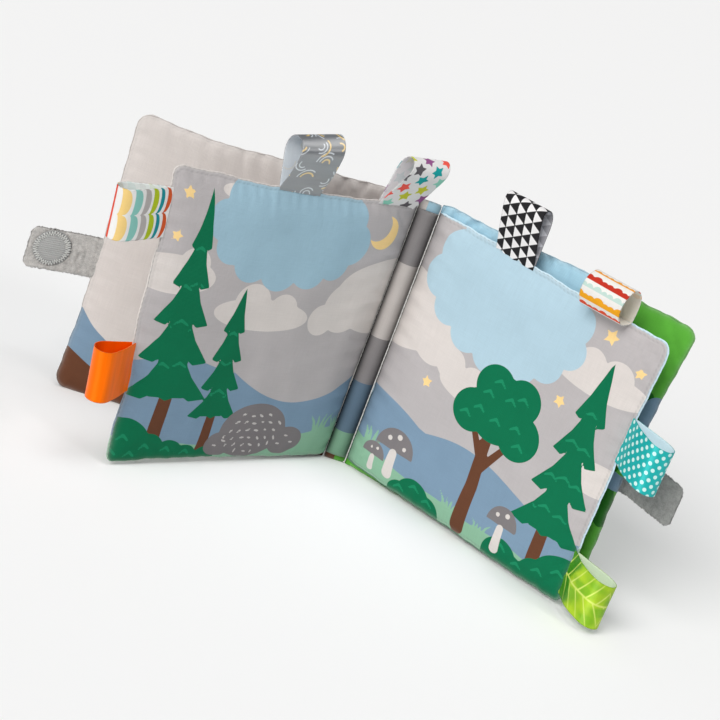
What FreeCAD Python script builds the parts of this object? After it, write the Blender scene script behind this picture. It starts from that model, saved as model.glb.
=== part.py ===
import FreeCAD, Part
import math, os
import Sketcher

# Soft cloth book standing open on its bottom edges.  Millimetres, +Z up.
# The spine runs up the Z axis, the open side faces -Y.  The origin is in the
# middle of the cover spine's foot.  Two lines of thread, at x = -seam_x and
# x = +seam_x, join the outer spread (covers) to the inner leaf (pages), and
# every panel swings about one of them.

doc = FreeCAD.newDocument("soft_book")
V = FreeCAD.Vector

# ---------------------------------------------------------------- dimensions
DIMS = [
    # spine and seams
    ("seam_x", 6.3), ("seam_y", -1.25), ("thread_rad", 0.5),
    ("inner_puff", 3.3), ("cover_puff", 2.25), ("strip_half", 5.75),
    # panel sizes
    ("page_wide", 153.2), ("page_tall", 152.0), ("page_lift", 2.7),
    ("cover_wide", 156.4), ("cover_tall", 160.0),
    ("panel_start", 2.5), ("panel_gap", 0.25), ("start_thick", 2.25),
    ("edge_thick", 2.0), ("taper", 8.0), ("fill_out", 2.4), ("fill_in", 1.2),
    ("corner_rad", 7.0),
    # how far each panel is turned towards the reader at rest, in degrees, and
    # the extra turn at its foot (the head turns as much the other way)
    ("page_left_turn", 38.2), ("page_left_twist", 4.5),
    ("page_right_turn", 38.2), ("page_right_twist", 0.0),
    ("cover_left_turn", 9.9), ("cover_left_twist", 0.0),
    ("cover_right_turn", 31.8), ("cover_right_twist", 2.0),
    # bow of each panel towards the reader, at its foot and at its head
    ("page_left_bow_foot", 0.8), ("page_left_bow_head", 3.4),
    ("page_right_bow_foot", -1.4), ("page_right_bow_head", -1.6),
    ("cover_left_bow_foot", 4.2), ("cover_left_bow_head", 9.0),
    ("cover_right_bow_foot", -3.2), ("cover_right_bow_head", -5.2),
    # ribbon loops: all are cut from ribbon of one width
    ("ribbon_wide", 25.4), ("ribbon_thick", 0.6), ("fold_rad", 0.8),
    # felt closure tabs
    ("tab_wide", 23.0), ("tab_thick", 1.8), ("tab_round", 3.0),
    ("tab_left_long", 36.5), ("tab_right_long", 29.5),
    ("disc_rad", 10.0), ("disc_thick", 0.8),
]
LOOPS = [
    # name, side, edge, where its near end starts, reach, head radius,
    # lean towards the reader, slant along the edge
    ("waves", "left", "outer", 116.6, 29.6, 5.8, -1.5, 7.5),
    ("orange", "left", "outer", 36.9, 26.4, 6.8, 12.0, 5.0),
    ("swirl", "left", "top", 67.7, 28.6, 7.4, -8.0, 6.0),
    ("stars", "left", "top", 3.4, 29.4, 6.2, 8.0, 15.0),
    ("triangles", "right", "top", 40.8, 29.6, 5.6, -6.0, 9.0),
    ("scallops", "right", "top", 104.8, 20.8, 9.3, 38.0, 1.0),
    ("dots", "right", "outer", 84.2, 29.4, 6.0, 12.0, 8.0),
    ("leaf", "right", "outer", 5.3, 29.5, 5.8, 7.0, 8.5),
]
for nm, side, edge, at, reach, head, lean, slant in LOOPS:
    DIMS += [(nm + "_at", at), (nm + "_reach", reach), (nm + "_head", head),
             (nm + "_lean", lean), (nm + "_slant", slant)]
sheet = doc.addObject("Spreadsheet::Sheet", "Dimensions")
for i, (alias, value) in enumerate(DIMS):
    sheet.set("A%d" % (i + 1), alias)
    sheet.set("B%d" % (i + 1), repr(value))
    sheet.setAlias("B%d" % (i + 1), alias)
doc.recompute()


def val(alias):
    return float(getattr(sheet, alias))


def terms(expr, factor=1.0):
    """Split a sum such as "page_lift + 2 * taper" into (number, alias) pairs."""
    if isinstance(expr, list):
        return [(factor * c, a) for c, a in expr]
    out = []
    for piece in expr.replace("- ", "+ -").split("+"):
        piece = piece.strip()
        if not piece:
            continue
        sign = -1.0 if piece.startswith("-") else 1.0
        coef, word = sign * factor, ""
        for f in piece.lstrip("-").split("*"):
            f = f.strip()
            if f[0].isdigit():
                coef *= float(f)
            else:
                word = f
        out.append((coef, word))
    return out


def ev(expr):
    """Value of such a sum."""
    return sum(c * (val(a) if a else 1.0) for c, a in terms(expr))


def bind(expr):
    """The same sum as an expression that reads the sheet."""
    out = []
    for c, a in terms(expr):
        out.append("(%.6f)%s" % (c, " * <<Dimensions>>." + a if a else ""))
    return " + ".join(out) if out else "0"


def new_body(name):
    body = doc.addObject("PartDesign::Body", name)
    body.Label = name
    return body


def new_sketch(body, name, role, z="", turn="", turn_axis=V(0, 0, 1)):
    sk = body.newObject("Sketcher::SketchObject", name)
    plane = [f for f in body.Origin.OriginFeatures if f.Role == role][0]
    sk.AttachmentSupport = [(plane, "")]
    sk.MapMode = "FlatFace"
    sk.AttachmentOffset = FreeCAD.Placement(V(0, 0, ev(z) if z else 0),
                                            FreeCAD.Rotation(turn_axis, ev(turn) if turn else 0))
    if z:
        sk.setExpression("AttachmentOffset.Base.z", bind(z))
    if turn:
        sk.setExpression("AttachmentOffset.Rotation.Angle", bind(turn))
    return sk


def datum(sk, kind, name, expr, *geo):
    """Add a driving constraint and tie it to the sheet."""
    i = sk.addConstraint(Sketcher.Constraint(kind, *geo, ev(expr)))
    sk.renameConstraint(i, name)
    sk.setExpression("Constraints." + name, bind(expr))


def arc_geometry(p, q, sag):
    """Arc from p to q whose middle stands sag to the side of the chord."""
    c = q - p
    half = c.Length / 2.0
    rad = (half * half + sag * sag) / (2.0 * abs(sag))
    side = V(-c.y, c.x, 0).normalize()
    mid = (p + q) * 0.5
    centre = mid + side * (sag - math.copysign(rad, sag))
    a0 = math.atan2(p.y - centre.y, p.x - centre.x)
    a1 = math.atan2(q.y - centre.y, q.x - centre.x)
    if sag > 0:
        a0, a1 = a1, a0        # the arc runs clockwise from p to q
    while a1 < a0:
        a1 += 2 * math.pi
    return Part.ArcOfCircle(Part.Circle(centre, V(0, 0, 1), rad), a0, a1), rad


def at_end(sk, geo, p):
    """1 if the geometry starts at p, 2 if it ends there."""
    return 1 if (sk.getPoint(geo, 1) - p).Length < (sk.getPoint(geo, 2) - p).Length else 2


def panel_section(body, name, z, turn, s, wide, inner_out, inner_in, outer_out, outer_in, bow_out, bow_in):
    """Cross-section of a padded panel: two long arcs closed by its two thin ends."""
    sk = new_sketch(body, name, "XY_Plane", z, turn)
    pts = [V(s * val("panel_start"), -ev(inner_out), 0), V(s * ev(wide), -ev(outer_out), 0),
           V(s * ev(wide), -ev(outer_in), 0), V(s * val("panel_start"), -ev(inner_in), 0)]
    # a positive bow is towards the reader, which is -Y
    fo, fi = ev(bow_out), ev(bow_in)
    a, ra = arc_geometry(pts[0], pts[1], -s * fo)
    b, rb = arc_geometry(pts[3], pts[2], -s * fi)
    ids = [sk.addGeometry(a, False), sk.addGeometry(Part.LineSegment(pts[1], pts[2]), False),
           sk.addGeometry(b, False), sk.addGeometry(Part.LineSegment(pts[3], pts[0]), False)]
    links = [(0, 1, pts[1]), (1, 2, pts[2]), (2, 3, pts[3]), (3, 0, pts[0])]
    for g, h, p in links:
        sk.addConstraint(Sketcher.Constraint("Coincident", ids[g], at_end(sk, ids[g], p), ids[h], at_end(sk, ids[h], p)))
    xs = [terms("panel_start", s), terms(wide, s), terms(wide, s), terms("panel_start", s)]
    ys = [terms(e, -1.0) for e in (inner_out, outer_out, outer_in, inner_in)]
    corner = [(ids[3], pts[0]), (ids[1], pts[1]), (ids[1], pts[2]), (ids[3], pts[3])]
    for k, (g, p) in enumerate(corner):
        datum(sk, "DistanceX", "x%d" % k, xs[k], g, at_end(sk, g, p))
        datum(sk, "DistanceY", "y%d" % k, ys[k], g, at_end(sk, g, p))
    for nm, g, rad, p, q, e in (("front", ids[0], ra, pts[0], pts[1], bow_out), ("back", ids[2], rb, pts[3], pts[2], bow_in)):
        i = sk.addConstraint(Sketcher.Constraint("Radius", g, rad))
        sk.renameConstraint(i, nm)
        rise = terms(outer_out) + terms(inner_out, -1.0) if nm == "front" else terms(outer_in) + terms(inner_in, -1.0)
        chord = "(%s - %s)^2 + (%s)^2" % (bind(wide), bind("panel_start"), bind(rise))
        sag = "(%s)" % bind(e)
        sk.setExpression("Constraints." + nm, "((%s) / 4 + %s^2) / (2 * abs(%s))" % (chord, sag, sag))
    return sk


def padded_panel(name, side, kind, z0, tall):
    """A pillow-like panel lofted from its thin foot to its thin head."""
    s = -1 if side == "left" else 1
    key = "%s_%s" % (kind, side)
    body = new_body(name)
    wide = kind + "_wide"
    foot, head = key + "_bow_foot", key + "_bow_head"
    if kind == "page":       # lies in front of the seam
        ends = ("panel_gap + start_thick", "panel_gap", "panel_gap + edge_thick", "panel_gap")
        out, back = "fill_out", "fill_in"
    else:                    # lies behind it
        ends = ("-panel_gap", "-panel_gap - start_thick", "-panel_gap", "-panel_gap - edge_thick")
        out, back = "fill_in", "fill_out"
    foot, head = key + "_bow_foot", key + "_bow_head"
    # the foot turns further towards the reader than the head
    f = 1 - 2.0 * val("taper") / ev(tall)
    tw = -float(s)
    rows = [("foot_edge", terms(z0), tw, foot, 0.35, 0.35, ""),
            ("foot", terms(z0) + terms("taper"), tw * f, foot, 1.0, 1.0, "fill"),
            ("head", terms(z0) + terms(tall) + terms("taper", -1.0), -tw * f, head, 1.0, 1.0, "fill"),
            ("head_edge", terms(z0) + terms(tall), -tw, head, 0.35, 0.35, "")]
    sks = []
    for nm, z, turn, bow, fo, fi, full in rows:
        bow_out = terms(bow) + ([(1.0, out)] if full else [(fo, "")])
        bow_in = terms(bow) + ([(-1.0, back)] if full else [(-fi, "")])
        sks.append(panel_section(body, "%s_%s" % (key, nm), z, terms(key + "_twist", turn), s, wide,
                                 ends[0], ends[1], ends[2], ends[3], bow_out, bow_in))
    loft = body.newObject("PartDesign::AdditiveLoft", key + "_padding")
    loft.Profile = sks[0]
    loft.Sections = sks[1:]
    loft.Ruled = True
    doc.recompute()
    # rounded outer corners
    cut = new_sketch(body, key + "_corners", "XZ_Plane")
    rad, w, lo, hi = val("corner_rad"), ev(wide), ev(z0), ev(z0) + ev(tall)
    zlo, zhi = terms(z0), terms(z0) + terms(tall)
    for nm, zc, sz, zexp in (("low", lo, -1, zlo), ("high", hi, 1, zhi)):
        c = V(s * (w - rad), zc - sz * rad, 0)
        p1 = V(s * w, zc - sz * rad, 0)
        p2 = V(s * (w - rad), zc, 0)
        q1, q2, q3 = V(s * (w + 3), p1.y, 0), V(s * (w + 3), zc + sz * 3, 0), V(p2.x, zc + sz * 3, 0)
        a0 = math.atan2(p1.y - c.y, p1.x - c.x)
        a1 = math.atan2(p2.y - c.y, p2.x - c.x)
        lo_a, hi_a = (a0, a1) if ((a1 - a0) % (2 * math.pi)) < math.pi else (a1, a0)
        while hi_a < lo_a:
            hi_a += 2 * math.pi
        ga = cut.addGeometry(Part.ArcOfCircle(Part.Circle(c, V(0, 0, 1), rad), lo_a, hi_a), False)
        ls = [cut.addGeometry(Part.LineSegment(a, b), False) for a, b in ((p1, q1), (q1, q2), (q2, q3), (q3, p2))]
        chain = [(ga, ls[0], p1), (ls[0], ls[1], q1), (ls[1], ls[2], q2), (ls[2], ls[3], q3), (ls[3], ga, p2)]
        for g, k, p in chain:
            cut.addConstraint(Sketcher.Constraint("Coincident", g, at_end(cut, g, p), k, at_end(cut, k, p)))
        cut.addConstraint([Sketcher.Constraint("Horizontal", ls[0]), Sketcher.Constraint("Vertical", ls[1]),
                           Sketcher.Constraint("Horizontal", ls[2]), Sketcher.Constraint("Vertical", ls[3])])
        datum(cut, "Radius", nm + "_radius", "corner_rad", ga)
        datum(cut, "DistanceX", nm + "_cx", terms(wide, s) + terms("corner_rad", -s), ga, 3)
        datum(cut, "DistanceY", nm + "_cz", zexp + terms("corner_rad", -sz), ga, 3)
        cut.addConstraint(Sketcher.Constraint("Horizontal", ga, at_end(cut, ga, p1), ga, 3))
        datum(cut, "DistanceX", nm + "_qx", terms(wide, s) + [(3.0 * s, "")], ls[1], 1)
        datum(cut, "DistanceY", nm + "_qz", zexp + [(3.0 * sz, "")], ls[2], 1)
        cut.addConstraint(Sketcher.Constraint("Vertical", ga, at_end(cut, ga, p2), ga, 3))
    pocket = body.newObject("PartDesign::Pocket", key + "_corner_cut")
    pocket.Profile = cut
    pocket.Type = "ThroughAll"
    pocket.Midplane = True
    doc.recompute()
    body.Tip = pocket
    turn = key + "_turn"
    body.Placement = FreeCAD.Placement(V(s * val("seam_x"), val("seam_y"), 0), FreeCAD.Rotation(V(0, 0, 1), -s * val(turn)))
    body.setExpression("Placement.Base.x", bind(terms("seam_x", s)))
    body.setExpression("Placement.Base.y", bind("seam_y"))
    body.setExpression("Placement.Rotation.Angle", bind(terms(turn, -s)))
    return body


def strip(name, z0, tall, puff, to_reader):
    """D-shaped padded strip between the two seams."""
    body = new_body(name)
    sk = new_sketch(body, name + "_section", "XY_Plane", z0)
    h, y, p = val("strip_half"), val("seam_y"), val(puff)
    a, b = V(-h, y, 0), V(h, y, 0)
    arc, rad = arc_geometry(a, b, -p if to_reader else p)
    ga = sk.addGeometry(arc, False)
    gl = sk.addGeometry(Part.LineSegment(a, b), False)
    for pt in (a, b):
        sk.addConstraint(Sketcher.Constraint("Coincident", ga, at_end(sk, ga, pt), gl, at_end(sk, gl, pt)))
    datum(sk, "DistanceX", "x0", "-strip_half", gl, 1)
    datum(sk, "DistanceX", "x1", "strip_half", gl, 2)
    datum(sk, "DistanceY", "y0", "seam_y", gl, 1)
    datum(sk, "DistanceY", "y1", "seam_y", gl, 2)
    i = sk.addConstraint(Sketcher.Constraint("Radius", ga, rad))
    sk.renameConstraint(i, "puff")
    sk.setExpression("Constraints.puff", "(%s^2 + %s^2) / (2 * %s)" % (bind("strip_half"), bind(puff), bind(puff)))
    pad = body.newObject("PartDesign::Pad", name + "_padding")
    pad.Profile = sk
    pad.Length = ev(tall)
    pad.setExpression("Length", bind(tall))
    doc.recompute()
    body.Tip = pad
    return body


def thread(name, s):
    """The line of stitches that both spreads turn on."""
    body = new_body(name)
    sk = new_sketch(body, name + "_section", "XY_Plane", "thread_rad")
    g = sk.addGeometry(Part.Circle(V(s * val("seam_x"), val("seam_y"), 0), V(0, 0, 1), val("thread_rad")), False)
    datum(sk, "Radius", "radius", "thread_rad", g)
    datum(sk, "DistanceX", "cx", terms("seam_x", s), g, 3)
    datum(sk, "DistanceY", "cy", "seam_y", g, 3)
    pad = body.newObject("PartDesign::Pad", name + "_run")
    pad.Profile = sk
    pad.Length = ev("cover_tall - 2 * thread_rad")
    pad.setExpression("Length", bind("cover_tall - 2 * thread_rad"))
    doc.recompute()
    body.Tip = pad
    return body


def teardrop(sk, tag, ux, uy, root, head, dist, root_expr, head_expr, cx_expr, cy_expr):
    """Closed outline round a small circle at the fold and a larger one at the head."""
    fold = val("fold_rad")
    c0 = V(ux * fold, uy * fold, 0) if False else V(0, 0, 0)
    c1 = V(ux * dist, uy * dist, 0)
    ang = math.atan2(uy, ux)
    beta = math.acos((root - head) / dist)
    up = V(math.cos(ang + beta), math.sin(ang + beta), 0)
    dn = V(math.cos(ang - beta), math.sin(ang - beta), 0)
    a_up, a_dn = ang + beta, ang - beta
    g_root = sk.addGeometry(Part.ArcOfCircle(Part.Circle(c0, V(0, 0, 1), root), a_up, a_dn + 2 * math.pi), False)
    g_head = sk.addGeometry(Part.ArcOfCircle(Part.Circle(c1, V(0, 0, 1), head), a_dn, a_up), False)
    g_up = sk.addGeometry(Part.LineSegment(c0 + up * root, c1 + up * head), False)
    g_dn = sk.addGeometry(Part.LineSegment(c0 + dn * root, c1 + dn * head), False)
    sk.addConstraint([Sketcher.Constraint("Tangent", g_up, 1, g_root, 1), Sketcher.Constraint("Tangent", g_up, 2, g_head, 2),
                      Sketcher.Constraint("Tangent", g_dn, 1, g_root, 2), Sketcher.Constraint("Tangent", g_dn, 2, g_head, 1)])
    for nm, kind, value, expr, geo in ((tag + "_root", "Radius", root, root_expr, (g_root,)),
                                       (tag + "_head", "Radius", head, head_expr, (g_head,)),
                                       (tag + "_cx", "DistanceX", c1.x, cx_expr, (g_head, 3)),
                                       (tag + "_cy", "DistanceY", c1.y, cy_expr, (g_head, 3))):
        i = sk.addConstraint(Sketcher.Constraint(kind, *geo, value))
        sk.renameConstraint(i, nm)
        sk.setExpression("Constraints." + nm, expr)
    sk.addConstraint(Sketcher.Constraint("Coincident", g_root, 3, -1, 1))


def loop(nm, side, edge):
    """Ribbon folded in half, its two ends sewn together into the page's seam."""
    s = -1 if side == "left" else 1
    name = "loop_" + nm
    body = new_body(name)
    lean, reach, head = val(nm + "_lean"), val(nm + "_reach"), val(nm + "_head")
    slant, start = val(nm + "_slant"), val(nm + "_at")
    fold, th, wide = val("fold_rad"), val("ribbon_thick"), val("ribbon_wide")
    dist = reach - head - fold
    key = "page_" + side
    D = "<<Dimensions>>."
    dist_e = "(%s - %s - %s)" % (D + nm + "_reach", D + nm + "_head", D + "fold_rad")
    lean_e = "(%s * 1 deg)" % (D + nm + "_lean")
    if edge == "top":
        # the ribbon lies along the top edge; the loop stands up and leans to the reader (-Y);
        # its slant is towards the spine
        sk = new_sketch(body, name + "_profile", "YZ_Plane")
        ux, uy = -math.sin(math.radians(lean)), math.cos(math.radians(lean))
        cx_e, cy_e = "-%s * sin(%s)" % (dist_e, lean_e), "%s * cos(%s)" % (dist_e, lean_e)
        tilt = V(1, 0, 0)
        tilt_deg = -s * slant
        off = V(0, 0, 0)
        run = V(1, 0, 0)
    else:
        # the ribbon's width runs up the outer edge; the loop points away from the spine
        sk = new_sketch(body, name + "_profile", "XY_Plane")
        ux, uy = s * math.cos(math.radians(lean)), -math.sin(math.radians(lean))
        cx_e, cy_e = "%s%s * cos(%s)" % ("" if s > 0 else "-", dist_e, lean_e), "-%s * sin(%s)" % (dist_e, lean_e)
        tilt = V(0, 1, 0)
        tilt_deg = s * slant
        run = V(0, 0, 1)
    sk.AttachmentOffset = FreeCAD.Placement(V(0, 0, 0), FreeCAD.Rotation(tilt, tilt_deg))
    sk.setExpression("AttachmentOffset.Rotation.Angle", "%s%s" % ("-" if tilt_deg < 0 else "", D + nm + "_slant")
                     if abs(slant) > 0 else None)
    teardrop(sk, "outer", ux, uy, fold, head, dist, D + "fold_rad", D + nm + "_head", cx_e, cy_e)
    teardrop(sk, "inner", ux, uy, fold - th, head - th, dist, "%s - %s" % (D + "fold_rad", D + "ribbon_thick"),
             "%s - %s" % (D + nm + "_head", D + "ribbon_thick"), cx_e, cy_e)
    pad = body.newObject("PartDesign::Pad", name + "_ribbon")
    pad.Profile = sk
    pad.UseCustomVector = True
    pad.Direction = run
    pad.AlongSketchNormal = False
    pad.Length = wide
    pad.setExpression("Length", D + "ribbon_wide")
    doc.recompute()
    body.Tip = pad
    # where it sits on the page
    z0, tall, w = val("page_lift"), val("page_tall"), val("page_wide")
    foot, top = val(key + "_bow_foot"), val(key + "_bow_head")
    mid_n = val("panel_gap") + val("edge_thick") / 2
    if edge == "top":
        v = 1.0
        r_mid = start + wide / 2
        u = r_mid / w
        bow = top * 4 * u * (1 - u)
        local = V(start if s > 0 else -(start + wide), -(mid_n + bow), z0 + tall + fold + 0.02)
    else:
        v = (start + wide / 2) / tall
        local = V(s * (w + fold + 0.05), -mid_n, z0 + start)
    turn = val(key + "_turn") - val(key + "_twist") * (2 * v - 1)
    rot = FreeCAD.Rotation(V(0, 0, 1), -s * turn)
    body.Placement = FreeCAD.Placement(V(s * val("seam_x"), val("seam_y"), 0) + rot.multVec(local), rot)
    return body


def tab(name, side, long_alias, droop, turn, rise):
    """Felt strip sewn into the cover's outer seam; its free end droops a little."""
    s = -1 if side == "left" else 1
    body = new_body(name)
    sk = new_sketch(body, name + "_outline", "XZ_Plane")
    L, wd, rr = val(long_alias), val("tab_wide"), val("tab_round")
    t = math.tan(math.radians(droop))
    pts = [V(0, -wd / 2, 0), V(s * L, -wd / 2 - L * t, 0), V(s * L, wd / 2 - L * t, 0), V(0, wd / 2, 0)]
    ids = [sk.addGeometry(Part.LineSegment(pts[i], pts[(i + 1) % 4]), False) for i in range(4)]
    for i in range(4):
        sk.addConstraint(Sketcher.Constraint("Coincident", ids[i], 2, ids[(i + 1) % 4], 1))
    sk.addConstraint([Sketcher.Constraint("Vertical", ids[1]), Sketcher.Constraint("Vertical", ids[3]),
                      Sketcher.Constraint("Parallel", ids[0], ids[2])])
    datum(sk, "DistanceX", "x0", [], ids[0], 1)
    datum(sk, "DistanceY", "y0", "-0.5 * tab_wide", ids[0], 1)
    datum(sk, "DistanceY", "y3", "0.5 * tab_wide", ids[2], 2)
    datum(sk, "DistanceX", "far", terms(long_alias, s), ids[0], 2)
    sk.addConstraint(Sketcher.Constraint("DistanceY", ids[0], 2, -wd / 2 - L * t))
    pad = body.newObject("PartDesign::Pad", name + "_felt")
    pad.Profile = sk
    pad.Length = val("tab_thick")
    pad.setExpression("Length", bind("tab_thick"))
    pad.Midplane = True
    doc.recompute()
    fil = body.newObject("PartDesign::Fillet", name + "_round")
    edges = []
    for i, e in enumerate(pad.Shape.Edges):
        a, b = e.Vertexes[0].Point, e.Vertexes[-1].Point
        if abs(abs(a.x) - L) < 1e-6 and abs(a.x - b.x) < 1e-6 and abs(a.z - b.z) < 1e-6:
            edges.append("Edge%d" % (i + 1))
    fil.Base = (pad, edges)
    fil.Radius = rr
    fil.setExpression("Radius", bind("tab_round"))
    doc.recompute()
    body.Tip = fil
    key = "cover_" + side
    w = val("cover_wide")
    base = FreeCAD.Rotation(V(0, 0, 1), -s * val(key + "_turn"))
    mid_n = -(val("panel_gap") + val("edge_thick") / 2)
    root = V(s * val("seam_x"), val("seam_y"), 0) + base.multVec(V(s * (w + 0.35), -mid_n, rise))
    body.Placement = FreeCAD.Placement(root, FreeCAD.Rotation(V(0, 0, 1), -s * turn))
    return body


def disc(name, felt, side, along, front, droop):
    """Round closure patch lying on the felt."""
    s = -1 if side == "left" else 1
    body = new_body(name)
    sk = new_sketch(body, name + "_outline", "XZ_Plane")
    g = sk.addGeometry(Part.Circle(V(0, 0, 0), V(0, 0, 1), val("disc_rad")), False)
    sk.addConstraint(Sketcher.Constraint("Coincident", g, 3, -1, 1))
    datum(sk, "Radius", "radius", "disc_rad", g)
    pad = body.newObject("PartDesign::Pad", name + "_patch")
    pad.Profile = sk
    pad.Length = val("disc_thick")
    pad.setExpression("Length", bind("disc_thick"))
    doc.recompute()
    body.Tip = pad
    box = pad.Shape.BoundBox                      # the pad grows along one side of its plane
    sgn = -1 if front else 1
    y = sgn * val("tab_thick") / 2 - (box.YMax if front else box.YMin)
    local = V(s * along, y, -along * math.tan(math.radians(droop)))
    body.Placement = FreeCAD.Placement(felt.Placement.multVec(local), felt.Placement.Rotation)
    return body


parts = {}
parts["page_left"] = padded_panel("page_left", "left", "page", "page_lift", "page_tall")
parts["page_right"] = padded_panel("page_right", "right", "page", "page_lift", "page_tall")
parts["cover_left"] = padded_panel("cover_left", "left", "cover", [], "cover_tall")
parts["cover_right"] = padded_panel("cover_right", "right", "cover", [], "cover_tall")
parts["inner_spine"] = strip("inner_spine", "page_lift", "page_tall", "inner_puff", True)
parts["cover_spine"] = strip("cover_spine", [], "cover_tall", "cover_puff", False)
parts["seam_thread_left"] = thread("seam_thread_left", -1)
parts["seam_thread_right"] = thread("seam_thread_right", 1)
for nm, side, edge, at, reach, head, lean, slant in LOOPS:
    parts["loop_" + nm] = loop(nm, side, edge)
parts["tab_left"] = tab("tab_left", "left", "tab_left_long", 10.5, 3.0, 76.5)
parts["tab_right"] = tab("tab_right", "right", "tab_right_long", 8.0, 37.0, 78.5)
parts["hook_disc"] = disc("hook_disc", parts["tab_left"], "left", 24.5, True, 10.5)
parts["loop_disc"] = disc("loop_disc", parts["tab_right"], "right", 18.5, False, 8.0)
doc.recompute()

# ------------------------------------------------------------------- checks
bad = []
for ob in doc.Objects:
    if "Invalid" in ob.State or "Error" in ob.State:
        bad.append("%s: %s" % (ob.Name, ob.State))
for name, body in parts.items():
    shp = body.Shape
    if shp.isNull() or not shp.isValid() or len(shp.Solids) != 1 or shp.Volume <= 0:
        bad.append("%s: shape null %s solids %d" % (name, shp.isNull(), 0 if shp.isNull() else len(shp.Solids)))
if bad:
    raise RuntimeError("; ".join(bad))

os.makedirs("parts", exist_ok=True)
total = 0.0
for name, body in parts.items():
    body.Shape.exportStep("parts/%s.step" % name)
    b = body.Shape.BoundBox
    total += body.Shape.Volume
    print("%-18s %9.1f mm3  x %7.1f %7.1f  y %7.1f %7.1f  z %6.1f %6.1f" % (
        name, body.Shape.Volume, b.XMin, b.XMax, b.YMin, b.YMax, b.ZMin, b.ZMax))
print("total volume %.1f mm3" % total)
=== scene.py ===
"""A soft cloth book standing open on its foot: four padded panels on a sewn spine, eight ribbon loops, two felt tabs."""
import math

import bpy
import numpy as np
from mathutils import Matrix, Vector


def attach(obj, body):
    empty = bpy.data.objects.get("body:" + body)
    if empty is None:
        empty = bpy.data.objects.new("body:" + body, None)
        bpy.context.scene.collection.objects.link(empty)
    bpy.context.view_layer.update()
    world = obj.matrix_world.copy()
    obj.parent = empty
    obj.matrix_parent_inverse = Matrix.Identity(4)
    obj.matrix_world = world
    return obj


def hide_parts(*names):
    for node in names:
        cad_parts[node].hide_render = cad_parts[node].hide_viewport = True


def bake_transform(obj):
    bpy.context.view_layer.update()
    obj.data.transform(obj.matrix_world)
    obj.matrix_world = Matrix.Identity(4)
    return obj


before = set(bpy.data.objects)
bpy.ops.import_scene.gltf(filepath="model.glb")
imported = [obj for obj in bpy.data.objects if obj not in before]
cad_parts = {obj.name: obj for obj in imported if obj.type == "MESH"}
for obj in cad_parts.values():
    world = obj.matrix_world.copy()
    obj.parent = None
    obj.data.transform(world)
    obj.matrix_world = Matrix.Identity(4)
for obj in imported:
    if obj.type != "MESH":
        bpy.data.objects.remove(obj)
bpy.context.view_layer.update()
MM = 0.001
scene = bpy.context.scene

# ------------------------------------------------------------------ the frame's own sizes, mm
AX, AY = 6.3, -1.25          # the two rows of stitches
W_PAGE, H_PAGE, LIFT = 153.2, 152.0, 2.7
W_COVER, H_COVER = 156.4, 160.0
CORNER = 7.0
RAD_PAGE, RAD_COVER = 4.2, 6.5
LEAVES = {
    "page_left": dict(s=-1, page=True, turn=38.2, twist=4.5, foot=0.8, head=3.4, seed=3, lip=0.55, plain=0.5),
    # crease: near and wide strength of the painted shade down in a panel's spine crease
    "page_right": dict(s=1, page=True, turn=38.2, twist=0.0, foot=-1.4, head=-1.6, seed=11, lip=0.95, crease=(0.44, 0.44)),
    "cover_left": dict(s=-1, page=False, turn=9.9, twist=0.0, foot=4.2, head=9.0, seed=23, lip=0.4, folds=((31.5, 1.2, 0.3), (36.0, 0.9, -0.2), (43.5, 1.1, 0.35), (57.0, 0.8, 0.2), (101.0, 0.6, -0.3))),
    "cover_right": dict(s=1, page=False, turn=31.8, twist=2.0, foot=-3.2, head=-5.2, seed=37, lip=0.4, folds=((7.5, 1.8, 0.25), (14.5, 1.7, -0.2), (21.0, 1.1, 0.3), (34.0, 0.98, 0.2), (66.0, 1.5, 0.5), (70.5, 1.4, -0.3), (78.0, 0.98, 0.3))),
}
for key, L in LEAVES.items():
    L["key"] = key
    L["w"], L["h"], L["z0"] = (W_PAGE, H_PAGE, LIFT) if L["page"] else (W_COVER, H_COVER, 0.0)
    L["rad"] = RAD_PAGE if L["page"] else RAD_COVER


def axes(L, v):
    """Outward and towards-the-reader directions of a leaf at height fraction v."""
    g = np.radians(L["turn"] - L["twist"] * (2 * np.asarray(v, float) - 1))
    s = L["s"]
    e = np.stack([s * np.cos(g), -np.sin(g), 0 * g], -1)
    n = np.stack([-s * np.sin(g), -np.cos(g), 0 * g], -1)
    return e, n


def at(L, r, z, off):
    """Millimetre position of flat point (r, z), lifted off towards the reader."""
    r, z, off = np.broadcast_arrays(np.asarray(r, float), np.asarray(z, float), np.asarray(off, float))
    e, n = axes(L, np.clip(z / L["h"], -0.03, 1.03))
    p = e * r[..., None] + n * off[..., None]
    p[..., 0] += L["s"] * AX
    p[..., 1] += AY
    p[..., 2] = L["z0"] + z
    return p


def bow(L, r, z):
    u = np.clip(np.asarray(r, float) / L["w"], 0, 1)
    v = np.clip(np.asarray(z, float) / L["h"], 0, 1)
    return (L["foot"] * (1 - v) + L["head"] * v) * 4 * u * (1 - u)


# ------------------------------------------------------------------ smooth repeatable noise
def waves(seed, lengths, amps):
    rng = np.random.RandomState(seed)
    ph = rng.uniform(0, 2 * math.pi, len(lengths))
    return lambda t: sum(a * np.sin(2 * math.pi * t / l + p) for l, a, p in zip(lengths, amps, ph))


def field(seed, size, n=7):
    """Smooth two-way noise, about -1 to 1, with features of this size in mm."""
    rng = np.random.RandomState(seed)
    th = rng.uniform(0, 2 * math.pi, n)
    k = 2 * math.pi / (size * rng.uniform(0.75, 1.6, n))
    ph = rng.uniform(0, 2 * math.pi, n)
    return lambda x, y: sum(np.sin((x * math.cos(a) + y * math.sin(a)) * kk + p) for a, kk, p in zip(th, k, ph)) / math.sqrt(n)


# ------------------------------------------------------------------ shapes of the print (inside is positive, mm)
def circle(x, y, cx, cy, r):
    return r - np.hypot(x - cx, y - cy)


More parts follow.
